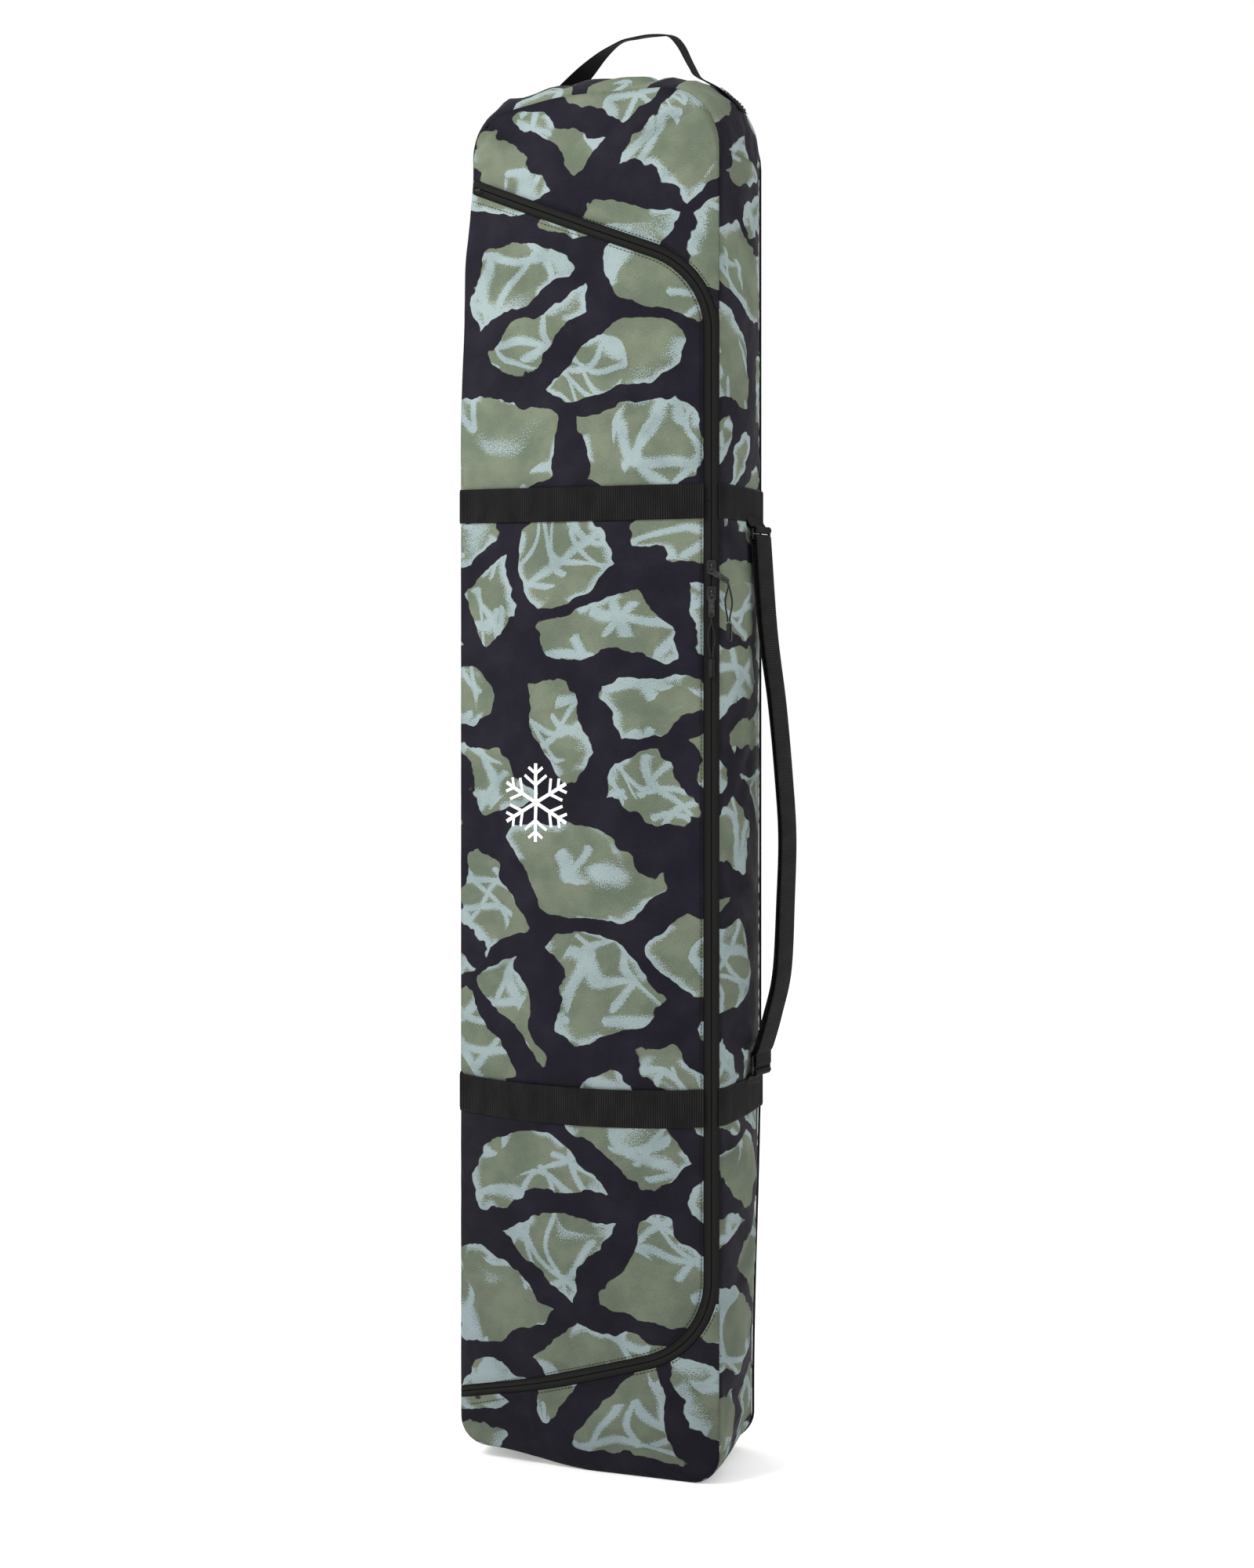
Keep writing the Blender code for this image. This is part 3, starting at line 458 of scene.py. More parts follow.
def metal_material():
    """Black lacquered metal, its lacquer rubbed thin on the edges."""
    n = Nodes("slider_metal")
    place = n.place()
    edge = n.add("ShaderNodeNewGeometry").outputs["Pointiness"]
    worn = n.math("MULTIPLY", n.step(edge, 0.53, 0.60), n.step(n.noise(place, 500.0, 2.0), 0.3, 0.7))
    colour = n.mix(worn, (0.0040, 0.0040, 0.0042, 1), (0.035, 0.035, 0.035, 1))
    rough = n.math("MULTIPLY_ADD", n.noise(place, 500.0, 2.0), 0.12, 0.24)
    normal = n.bump(n.noise(place, 250.0, 1.0), 0.00006, 0.4)
    return n.finish(colour, rough, normal, specular=0.28)


def thread_material(name, colour):
    """Twisted sewing thread."""
    n = Nodes(name)
    place = n.place()
    fuzz = n.noise(place, 2200.0, 2.0)
    tone = n.mix(fuzz, colour, tuple(c * 1.8 for c in colour[:3]) + (1,))
    return n.finish(tone, 0.62, n.bump(fuzz, 0.00015, 0.6), specular=0.15)


def cord_material():
    """Braided cord: slanting yarns with a fuzz on them."""
    n = Nodes("cord")
    place = n.place()
    yarn = n.wave(place, "DIAGONAL", 420.0)
    fuzz = n.noise(place, 2500.0, 2.0)
    share = n.math("MULTIPLY", n.math("ADD", yarn, fuzz), 0.5)
    colour = n.mix(share, (0.0050, 0.0050, 0.0055, 1), (0.020, 0.020, 0.021, 1))
    return n.finish(colour, 0.7, n.bump(yarn, 0.0002, 0.7), specular=0.2)


def mark_material():
    """White screen print: a little worn, so the cloth shows through it in specks."""
    n = Nodes("white_print")
    place = n.place()
    worn = n.step(n.noise(place, 900.0, 3.0, 0.6), 0.60, 0.74)
    colour = n.mix(worn, (0.84, 0.85, 0.86, 1), (0.42, 0.45, 0.44, 1))
    return n.finish(colour, 0.6, n.bump(n.noise(place, 1200.0, 1.0), 0.0001, 0.5))


# ---------------------------------------------------------------- surfaces shared with the CAD


def crown(x, z):
    across = 1 - min(1.0, abs(2 * x / WIDTH)) ** 2.4
    along = 1 - min(1.0, abs(2 * z / HEIGHT - 1)) ** 12
    return across * along


def ease(low, high, value):
    """0 at low, 1 at high, smooth between, for low above high too."""
    share = min(1.0, max(0.0, (value - low) / (high - low)))
    return share * share * (3 - 2 * share)


LEFT_PULL = 0.003  # how far the left edge is pulled in over its whole height
NARROWINGS = [
    # how much further, and the heights between which that comes
    (0.005, 1.22, 1.40),
    (0.011, 1.40, 1.54),
]
SHOULDER_X = -0.108
SHOULDER_WIDE = 0.048
SHOULDER_DROP = 0.010
FOOT_TUCK = 0.009
HEEL_LIFT = 0.009
TOE_LIFT = 0.015


def slumped(at):
    """Where the stuffed shell really hangs: narrower at its top left and round its base."""
    left = min(1.0, max(0.0, (WIDTH / 2 - at.x) / WIDTH)) ** 1.5
    narrow = LEFT_PULL + sum(much * ease(low, high, at.z) for much, low, high in NARROWINGS)
    shoulder = math.exp(-(((at.x - SHOULDER_X) / SHOULDER_WIDE) ** 2)) * ease(1.54, 1.62, at.z)
    right_rear = ease(0.06, 0.165, at.x) * ease(-0.075, 0.05, at.y)
    tuck = FOOT_TUCK * right_rear * ease(0.50, 0.06, at.z)
    low = ease(0.13, 0.0, at.z)
    heel = ease(0.10, 0.165, at.x) * ease(0.0, 0.075, at.y) * low
    toe = ease(0.01, -0.13, at.x) * ease(0.0, -0.075, at.y) * low
    lift = HEEL_LIFT * heel + TOE_LIFT * toe - SHOULDER_DROP * shoulder
    return Vector((at.x + narrow * left - tuck, at.y, at.z + lift))


def front_point(x, z, out=0.0):
    return slumped(Vector((x, -DEPTH / 2 - FRONT_CROWN * crown(x, z) - out, z)))


def back_point(x, z, out=0.0):
    return slumped(Vector((x, DEPTH / 2 + BACK_CROWN * crown(x, z) + out, z)))


def arc(centre, radius, start, end, steps):
    made = []
    for i in range(steps + 1):
        angle = start + (end - start) * i / steps
        normal = Vector((math.cos(angle), math.sin(angle)))
        made.append((Vector(centre) + radius * normal, normal))
    return made


def straight(start, end, normal, steps):
    start, end = Vector(start), Vector(end)
    return [(start.lerp(end, i / steps), Vector(normal)) for i in range(steps)]


def outline_side(sign, steps):
    x, top = sign * WIDTH / 2, HEIGHT - TOP_RADIUS
    made = straight((x, BASE_RADIUS), (x, top), (sign, 0), steps)
    return made + [(Vector((x, top)), Vector((sign, 0)))]


def outline_top(bend_steps, run_steps):
    x, z = WIDTH / 2 - TOP_RADIUS, HEIGHT - TOP_RADIUS
    made = arc((-x, z), TOP_RADIUS, math.pi, math.pi / 2, bend_steps)
    made += straight((-x, HEIGHT), (x, HEIGHT), (0, 1), run_steps)[1:]
    return made + arc((x, z), TOP_RADIUS, math.pi / 2, 0, bend_steps)


def outline_base(bend_steps, run_steps):
    x = WIDTH / 2 - BASE_RADIUS
    made = arc((-x, BASE_RADIUS), BASE_RADIUS, math.pi, 1.5 * math.pi, bend_steps)
    made += straight((-x, 0), (x, 0), (0, -1), run_steps)[1:]
    return made + arc((x, BASE_RADIUS), BASE_RADIUS, -math.pi / 2, 0, bend_steps)


def gusset_bulge(point, normal):
    rise = min(1.0, max(0.0, (point.y - BASE_RADIUS) / 0.12))
    upward = max(0.0, normal.y)
    dip = HANDLE_DIP * math.exp(-(((point.x - 0.100) / 0.038) ** 2))
    return SIDE_BULGE * rise * (1 - upward) + TOP_BULGE * upward * (1 - dip)


def gusset_point(place, across, out=0.0, inset=0.0, power=0.8):
    """A point of the gusset: place on the outline, across from -1 at the front to 1 at the back."""
    point, normal = place
    front = front_point(point.x, point.y).y + inset
    back = back_point(point.x, point.y).y - inset
    squeezed = 1 - 0.45 * band_share(point.y, 0.03)
    bulge = gusset_bulge(point, normal) * squeezed * (1 - across * across) ** power
    at = point + normal * (bulge + out)
    return slumped(Vector((at.x, front + (back - front) * (across + 1) / 2, at.y)))


def bend(corner, direction_in, direction_out, radius):
    turn = direction_in.angle(direction_out)
    reach = radius * math.tan(turn / 2)
    start = corner - direction_in * reach
    inward = (direction_out - direction_in * direction_in.dot(direction_out)).normalized()
    return start + inward * radius, reach


def zip_path(steps=9):
    """The zip's centre line, as (point, normal away from the flap) pairs in the XZ plane."""
    left, right = -WIDTH / 2, ZIP_X
    run = right - left
    top_corner = Vector((right, ZIP_TOP_Z + run * math.tan(ZIP_TOP_SLOPE)))
    low_corner = Vector((right, ZIP_BOTTOM_Z + run * math.tan(ZIP_BOTTOM_SLOPE)))
    top_run = Vector((math.cos(ZIP_TOP_SLOPE), math.sin(ZIP_TOP_SLOPE)))
    low_run = Vector((-math.cos(ZIP_BOTTOM_SLOPE), -math.sin(ZIP_BOTTOM_SLOPE)))
    down = Vector((0, -1))
    top_centre, top_reach = bend(top_corner, top_run, down, ZIP_BEND)
    low_centre, low_reach = bend(low_corner, down, low_run, ZIP_BEND)
    top_normal = Vector((-top_run.y, top_run.x))
    low_normal = Vector((-low_run.y, low_run.x))
    top_angle = math.atan2(top_normal.y, top_normal.x)
    low_angle = math.atan2(low_normal.y, low_normal.x)
    path = straight((left, ZIP_TOP_Z), top_corner - top_run * top_reach, top_normal, 2 * steps)
    path += arc(top_centre, ZIP_BEND, top_angle, 0, steps)
    path += straight(
        (right, top_corner.y - top_reach), (right, low_corner.y + low_reach), (1, 0), 8 * steps
    )[1:]
    path += arc(low_centre, ZIP_BEND, 0, low_angle, steps)
    path += straight(
        low_corner + low_run * low_reach, (left, ZIP_BOTTOM_Z), low_normal, 2 * steps
    )[1:]
    path.append((Vector((left, ZIP_BOTTOM_Z)), low_normal))
    return path


def measured(points):
    """The distance along a polyline to each of its points."""
    lengths = [0.0]
    for near, far in zip(points, points[1:]):
        lengths.append(lengths[-1] + (far - near).length)
    return lengths


def found(lengths, wants):
    """For rising distances along a polyline: the span that each is in, and its share of it."""
    i = 0
    for want in wants:
        while i < len(lengths) - 2 and lengths[i + 1] < want:
            i += 1
        yield i, min(1.0, (want - lengths[i]) / max(1e-9, lengths[i + 1] - lengths[i]))


def steps_between(first, last, count):
    return [first + (last - first) * i / count for i in range(count + 1)]


def directions(points):
    """The direction of a polyline at each of its points."""
    last = len(points) - 1
    spans = ((points[min(last, i + 1)], points[max(0, i - 1)]) for i in range(last + 1))
    return [(far - near).normalized() for far, near in spans]


def even_path(step):
    """The zip's centre line again, with its points evenly spaced, and the distance to each."""
    points, normals = zip(*zip_path(40))
    lengths = measured(points)
    wants = steps_between(0.0, lengths[-1], max(2, round(lengths[-1] / step)))
    made = []
    for want, (i, share) in zip(wants, found(lengths, wants)):
        point = points[i].lerp(points[i + 1], share)
        made.append((point, normals[i].lerp(normals[i + 1], share).normalized(), want))
    return made


def beside_zip(place, offset):
    at = place[0] + place[1] * offset
    limit = WIDTH / 2 - 0.0004
    return Vector((max(-limit, min(limit, at.x)), at.y))


# ---------------------------------------------------------------- mesh helpers


def link(name, data, *materials):
    obj = bpy.data.objects.new(name, data)
    for used in materials:
        data.materials.append(used)
    bpy.context.scene.collection.objects.link(obj)
    return obj


def grid_object(name, rows, flat, material, closed=False):
    """A quad grid through rows of points, with its flat-cloth coordinates as a UV map."""
    rings, wide = len(rows), len(rows[0])
    points = [point for row in rows for point in row]
    spots = [spot for row in flat for spot in row]
    faces, corners = [], []
    for r in range(rings if closed else rings - 1):
        for c in range(wide - 1):
            below = ((r + 1) % rings) * wide
            faces.append((r * wide + c, r * wide + c + 1, below + c + 1, below + c))
            far = (r + 1) * wide if r + 1 < len(flat) else below
            corners += [r * wide + c, r * wide + c + 1, far + c + 1, far + c]
    mesh = bpy.data.meshes.new(name)
    mesh.from_pydata(points, [], faces)
    layer = mesh.uv_layers.new(name="flat")
    for loop, spot in enumerate(corners):
        layer.data[loop].uv = spots[spot]
    mesh.shade_smooth()
    return link(name, mesh, material)


def face_outwards(obj, inside=Vector((0, 0, HEIGHT / 2))):
    """Turns the faces so that they look away from a point inside."""
    mesh = obj.data
    total = 0.0
    for face in mesh.polygons:
        total += face.normal.dot(face.center - inside) * face.area
    if total < 0:
        mesh.flip_normals()


def thicken(obj, thickness, inner=None, offset=-1.0):
    """Gives a sheet its thickness, with another material on its inner side if asked."""
    step = obj.modifiers.new("thickness", "SOLIDIFY")
    step.thickness = thickness
    step.offset = offset
    if inner is not None:
        obj.data.materials.append(inner)
        step.material_offset = 1
        step.material_offset_rim = 0
    return obj


CLOTH = {
    "quality": 7,
    "mass": 0.25,
    "tension_stiffness": 22,
    "compression_stiffness": 22,
    "shear_stiffness": 8,
    "air_damping": 3,
}


def settle(obj, pins, pull, slack=0.004, frames=16, bending=2.0):
    """Lets a panel relax as cloth: pinned points hold it, and the stuffing pulls it outwards."""
    scene = bpy.context.scene
    group = obj.vertex_groups.new(name="pin")
    for weight in sorted(set(pins)):
        if weight > 0:
            group.add([i for i, pin in enumerate(pins) if pin == weight], weight, "REPLACE")
    cloth = obj.modifiers.new("cloth", "CLOTH")
    for setting, value in CLOTH.items():
        setattr(cloth.settings, setting, value)
    cloth.settings.bending_stiffness = bending
    cloth.settings.vertex_group_mass = "pin"
    cloth.settings.shrink_min = -slack
    cloth.point_cache.frame_start = 1
    cloth.point_cache.frame_end = frames
    scene.gravity = pull
    for number in range(1, frames + 1):
        scene.frame_set(number)
    settled = obj.evaluated_get(bpy.context.evaluated_depsgraph_get()).data
    where = np.zeros(len(settled.vertices) * 3, np.float32)
    settled.vertices.foreach_get("co", where)
    obj.modifiers.remove(cloth)
    obj.vertex_groups.remove(group)
    obj.data.vertices.foreach_set("co", where)
    obj.data.update()
    scene.frame_set(1)
    scene.gravity = (0, 0, -9.81)


def tree_of(*objects):
    points, faces = [], []
    for obj in objects:
        start = len(points)
        points += [v.co.copy() for v in obj.data.vertices]
        faces += [tuple(start + i for i in face.vertices) for face in obj.data.polygons]
    return BVHTree.FromPolygons(points, faces)


def curve_through(controls, count):
    """count points on a Catmull-Rom curve through the control points."""
    ends = [2 * controls[0] - controls[1], *controls, 2 * controls[-1] - controls[-2]]
    spans = len(controls) - 1
    made = []
    for k in range(count):
        at = spans * k / (count - 1)
        i = min(spans - 1, int(at))
        t = at - i
        a, b, c, d = ends[i : i + 4]
        bend_in = 2 * a - 5 * b + 4 * c - d
        bend_out = 3 * b - a - 3 * c + d
        made.append(0.5 * (2 * b + (c - a) * t + bend_in * t**2 + bend_out * t**3))
    return made


def tube(name, points, radius, material, closed=False, sides=2):
    curve = bpy.data.curves.new(name, "CURVE")
    curve.dimensions = "3D"
    curve.bevel_depth = radius
    curve.bevel_resolution = sides
    curve.use_fill_caps = not closed
    spline = curve.splines.new("POLY")
    spline.points.add(len(points) - 1)
    for target, point in zip(spline.points, points):
        target.co = (*point, 1.0)
    spline.use_cyclic_u = closed
    return link(name, curve, material)


STITCH_LENGTH = 0.0034
STITCH_PITCH = 0.0046
THREAD_RADIUS = 0.00042


def stitch_line(points, normals):
    """Vertices and faces of a row of thread stitches along a polyline, each a small rounded bar."""
    lengths = measured(points)
    count = int(lengths[-1] / STITCH_PITCH)
    wants = [k * STITCH_PITCH + gap for k in range(count) for gap in (0, STITCH_LENGTH)]
    ends = [(points[i].lerp(points[i + 1], share), normals[i]) for i, share in found(lengths, wants)]
    verts, faces = [], []
    for (start, normal), (end, _) in zip(ends[::2], ends[1::2]):
        along = end - start
        if along.length < 1e-6:
            continue
        side = normal.cross(along.normalized()) * THREAD_RADIUS
        lift = normal * THREAD_RADIUS
        first = len(verts)
        for share, grow in ((0, 0.35), (0.2, 1), (0.8, 1), (1, 0.35)):
            middle = start + along * share + lift * (grow - 0.9)
            verts += [middle + way * grow for way in (-side, lift, side, -lift)]
        for ring in range(3):
            for c in range(4):
                a, b = first + ring * 4 + c, first + ring * 4 + (c + 1) % 4
                faces.append((a, b, b + 4, a + 4))
        faces.append(tuple(first + c for c in (3, 2, 1, 0)))
        faces.append(tuple(first + 12 + c for c in range(4)))
    return verts, faces


def stitches(name, lines, body, used="thread"):
    """One piece holding the stitches of several lines of (points, normals)."""
    verts, faces = [], []
    for points, normals in lines:
        more, cells = stitch_line(points, normals)
        faces += [tuple(len(verts) + i for i in cell) for cell in cells]
        verts += more
    mesh = bpy.data.meshes.new(name)
    mesh.from_pydata(verts, [], faces)
    mesh.shade_smooth()
    thread = link(name, mesh, MATERIALS[used])
    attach(thread, body)


# ---------------------------------------------------------------- folds worked into the cloth


def ripple(point, seed, size):
    """Smooth noise at a place, between about -1 and 1."""
    return noise.noise(Vector((point.x, point.y, point.z)) / size + Vector((seed, 0, 0)))


FOLD_STRENGTH = 1.7


def fold(point, start, end, width, depth):
    """Height at a point of one soft fold that runs from start to end and fades at both."""
    start, end = Vector(start), Vector(end)
    run = end - start
    share = (point - start).dot(run) / run.length_squared
    if not -0.2 < share < 1.2:
        return 0.0
    away = (point - start - run * share).length / width
    if away > 3:
        return 0.0
    fade = math.sin(math.pi * min(1.0, max(0.0, (share + 0.2) / 1.4)))
    return FOLD_STRENGTH * depth * fade * (1 - away * away * 1.1) * math.exp(-away * away)


FRONT_FOLDS = [
    # start, end, width and height of the soft folds on the front
    ((0.150, -0.085, 1.360), (0.060, -0.100, 1.265), 0.016, 0.0035),
    ((0.152, -0.080, 1.275), (0.075, -0.100, 1.225), 0.013, 0.0026),
    ((0.150, -0.080, 1.195), (0.060, -0.100, 1.172), 0.012, 0.0026),
    ((0.148, -0.080, 1.085), (0.065, -0.100, 1.045), 0.014, 0.0028),
    ((0.150, -0.080, 0.985), (0.085, -0.100, 0.960), 0.012, 0.0022),
    ((0.150, -0.080, 0.560), (0.070, -0.100, 0.500), 0.014, 0.0028),
    ((0.148, -0.080, 0.485), (0.060, -0.100, 0.472), 0.010, 0.0022),
    ((0.148, -0.080, 0.390), (0.060, -0.100, 0.345), 0.013, 0.0028),
    ((0.145, -0.080, 0.295), (0.050, -0.095, 0.245), 0.016, 0.0030),
    ((-0.160, -0.080, 1.200), (-0.090, -0.095, 1.178), 0.012, 0.0022),
    ((-0.160, -0.080, 1.060), (-0.100, -0.095, 1.090), 0.012, 0.0022),
    ((-0.160, -0.080, 0.505), (-0.095, -0.095, 0.478), 0.012, 0.0022),
    ((-0.160, -0.080, 0.330), (-0.080, -0.095, 0.385), 0.014, 0.0026),
    ((0.128, -0.080, 1.588), (0.070, -0.092, 1.556), 0.0075, -0.0085),
    ((0.120, -0.080, 1.606), (0.085, -0.088, 1.590), 0.008, 0.0040),
    ((0.140, -0.080, 1.545), (0.100, -0.090, 1.500), 0.009, -0.0055),
    ((0.060, -0.080, 1.600), (0.030, -0.090, 1.560), 0.009, -0.0035),
    ((-0.130, -0.080, 1.592), (-0.085, -0.092, 1.560), 0.0085, -0.0060),
    ((-0.150, -0.078, 1.560), (-0.120, -0.088, 1.585), 0.007, -0.0045),
    ((-0.155, -0.078, 1.540), (-0.110, -0.090, 1.552), 0.008, 0.0035),
    ((-0.125, -0.085, 1.150), (-0.118, -0.090, 1.180), 0.006, -0.0028),
    ((-0.080, -0.090, 1.150), (-0.072, -0.095, 1.176), 0.007, -0.0024),
    ((-0.118, -0.085, 1.118), (-0.128, -0.090, 1.085), 0.007, -0.0026),
    ((0.060, -0.095, 1.118), (0.066, -0.095, 1.085), 0.007, -0.0022),
    ((-0.105, -0.085, 0.450), (-0.112, -0.090, 0.480), 0.007, -0.0026),
    ((0.040, -0.095, 0.450), (0.046, -0.095, 0.480), 0.008, -0.0022),
    ((0.105, -0.085, 0.412), (0.098, -0.090, 0.380), 0.007, -0.0026),
    ((-0.060, -0.095, 0.412), (-0.066, -0.095, 0.382), 0.008, -0.0022),
    ((-0.150, -0.080, 0.045), (-0.070, -0.090, 0.085), 0.013, -0.0035),
    ((0.150, -0.080, 0.060), (0.090, -0.090, 0.120), 0.014, -0.0040),
]

SIDE_FOLDS = [
    ((0.170, -0.062, 1.085), (0.172, 0.010, 1.050), 0.012, -0.0028),
    ((0.170, -0.062, 1.205), (0.172, 0.020, 1.180), 0.011, -0.0026),
    ((0.170, -0.060, 1.480), (0.172, 0.030, 1.420), 0.014, -0.0030),
    ((0.170, -0.055, 0.520), (0.172, 0.030, 0.480), 0.013, -0.0034),
    ((0.170, -0.060, 0.395), (0.172, 0.030, 0.370), 0.012, -0.0030),
    ((0.170, 0.060, 0.300), (0.172, -0.030, 0.230), 0.015, -0.0034),
    ((0.170, -0.060, 0.110), (0.172, 0.050, 0.060), 0.014, -0.0036),
    ((0.170, 0.055, 0.880), (0.172, -0.020, 0.830), 0.016, -0.0026),
    ((0.170, -0.055, 0.700), (0.172, 0.030, 0.650), 0.016, -0.0024),
]


def make_skin(name, rows, flat):
    skin = grid_object(name, rows, flat, MATERIALS["print"])
    face_outwards(skin)
    return skin


def crumple(obj, outward, folds, amount, hold):
    """Adds the listed folds and a soft unevenness; hold(point) is 0 where the cloth is sewn."""
    for vertex in obj.data.vertices:
        at = vertex.co
        rise = sum(fold(at, *each) for each in folds)
        rise += amount * (ripple(at, 3.0, 0.045) + 0.5 * ripple(at, 8.0, 0.020))
        vertex.co = at + outward(at) * rise * hold(at)


def near_seam(distance, reach=0.014):
    return min(1.0, max(0.0, distance / reach))


# ---------------------------------------------------------------- the printed shell

MATERIALS = {}
FRONT_TREE = None
SIDE_TREE = None


def band_share(z, reach=0.008):
    """1 on a band, falling to 0 within its reach above and below it."""
    share = 0.0
    for low, high in BANDS.values():
        gap = max(low - z, z - high, 0.0)
        share = max(share, 1 - gap / reach)
    return max(0.0, share)


def panel_pins(rows, soft=0.55):
    """Pins for a panel: its border is sewn, and the bands press on the rows below them."""
    pins = []
    for r, row in enumerate(rows):
        for c, point in enumerate(row):
            border = r in (0, len(rows) - 1) or c in (0, len(row) - 1)
            pins.append(1.0 if border else round(soft * band_share(point.z), 2))
    return pins


def make_flap_skin():
    edge = [beside_zip(place, -(TAPE_HALF - SEAM_TUCK)) for place in zip_path(16)]
    left_x = SEAM_TUCK - WIDTH / 2
    top, bottom = edge[0].y, edge[-1].y
    columns = 44
    rows, flat = [], []
    for i, end in enumerate(edge):
        share = i / (len(edge) - 1)
        start = Vector((left_x, top + (bottom - top) * share))
        end = Vector((max(end.x, left_x + 0.0005), end.y))
        spots = [start.lerp(end, k / columns) for k in range(columns + 1)]
        rows.append([front_point(*spot, SKIN_PROUD) for spot in spots])
        flat.append([(spot.x, spot.y) for spot in spots])
    skin = make_skin("flap_skin", rows, flat)
    settle(skin, panel_pins(rows), (0, -9, 0))

    def hold(at):
        edge_gap = min(zip_gap(at), at.x + WIDTH / 2)
        return near_seam(edge_gap) * (1 - 0.8 * band_share(at.z))

    crumple(skin, lambda at: FRONT, FRONT_FOLDS, 0.0019, hold)
    return skin


ZIP_POINTS = np.array([tuple(place[0]) for place in zip_path(20)])


def zip_gap(at):
    """Distance across the front from a point to the zip's centre line, less half the tape."""
    return float(np.hypot(ZIP_POINTS[:, 0] - at.x, ZIP_POINTS[:, 1] - at.z).min()) - TAPE_HALF


def make_yoke_skin(name, at_top):
    path = zip_path(16)
    upper = [p for p in path if p[0].y > HEIGHT / 2]
    lower = [p for p in path if p[0].y < HEIGHT / 2]
    reach = WIDTH / 2 - 0.0030
    run = upper if at_top else list(reversed(lower))
    inner = [beside_zip(p, TAPE_HALF - SEAM_TUCK) for p in run]
    inner = [p for p in inner if p.x < reach]
    limit = WIDTH / 2 - SEAM_TUCK
    left = Vector((-limit, inner[0].y))
    right = Vector((limit, inner[-1].y))
    edge = outline_top(10, 20) if at_top else outline_base(8, 20)
    outer = [Vector((max(-limit, min(limit, p.x)), max(SEAM_TUCK, p.y))) for p, _ in edge]
    count = 61
    outer = resampled([left, *outer, right], count)
    inner = resampled(inner, count)
    rows, flat = [], []
    for a, b in zip(inner, outer):
        spots = [a.lerp(b, k / 16) for k in range(17)]
        rows.append([front_point(*spot, SKIN_PROUD * (1 - k / 16)) for k, spot in enumerate(spots)])
        flat.append([(spot.x + 0.7, spot.y + (0.31 if at_top else -0.4)) for spot in spots])
    skin = make_skin(name, rows, flat)
    settle(skin, panel_pins(rows), (0, -8, 0), slack=0.006)

    def hold(at):
        return near_seam(min(zip_gap(at), outline_gap(at)))

    crumple(skin, lambda at: FRONT, FRONT_FOLDS, 0.0019, hold)
    return skin


def outline_gap(at):
    """Distance from a front or back point to the outline's seam."""
    half = WIDTH / 2
    gap = min(half - abs(at.x), at.z, HEIGHT - at.z)
    corner_x, corner_z = half - TOP_RADIUS, HEIGHT - TOP_RADIUS
    if abs(at.x) > corner_x and at.z > corner_z:
        away = math.hypot(abs(at.x) - corner_x, at.z - corner_z)
        gap = min(gap, TOP_RADIUS - away)
    return max(0.0, gap)


def resampled(points, count):
    lengths = measured(points)
    wants = steps_between(0.0, lengths[-1], count - 1)
    return [points[i].lerp(points[i + 1], share) for i, share in found(lengths, wants)]


def half_width(z):
    if z < BASE_RADIUS:
        drop = BASE_RADIUS - max(0.0, z)
        return WIDTH / 2 - BASE_RADIUS + math.sqrt(max(0.0, BASE_RADIUS**2 - drop**2))
    if z > HEIGHT - TOP_RADIUS:
        rise = min(HEIGHT, z) - (HEIGHT - TOP_RADIUS)
        return WIDTH / 2 - TOP_RADIUS + math.sqrt(max(0.0, TOP_RADIUS**2 - rise**2))
    return WIDTH / 2


def make_back_skin():
    low = [BASE_RADIUS * (1 - math.cos(math.pi / 2 * i / 6)) for i in range(7)]
    high = [HEIGHT - TOP_RADIUS * (1 - math.cos(math.pi / 2 * i / 10)) for i in range(11)]
    steps = 170
    middle = [low[-1] + (high[-1] - low[-1]) * i / steps for i in range(1, steps)]
    heights = low + middle + list(reversed(high))
    heights[0], heights[-1] = 0.0008, HEIGHT - SEAM_TUCK
    rows, flat = [], []
    for z in heights:
        half = half_width(z) - SEAM_TUCK
        spots = [half * k / 20 for k in range(-20, 21)]
        rows.append([back_point(x, z) for x in spots])
        flat.append([(x + 1.9, z) for x in spots])
    skin = make_skin("back_skin", rows, flat)
    settle(skin, panel_pins(rows), (0, 7, 0), slack=0.003)

    def hold(at):
        return near_seam(outline_gap(at)) * (1 - 0.8 * band_share(at.z))

    crumple(skin, lambda at: BACK, [], 0.0026, hold)
    return skin


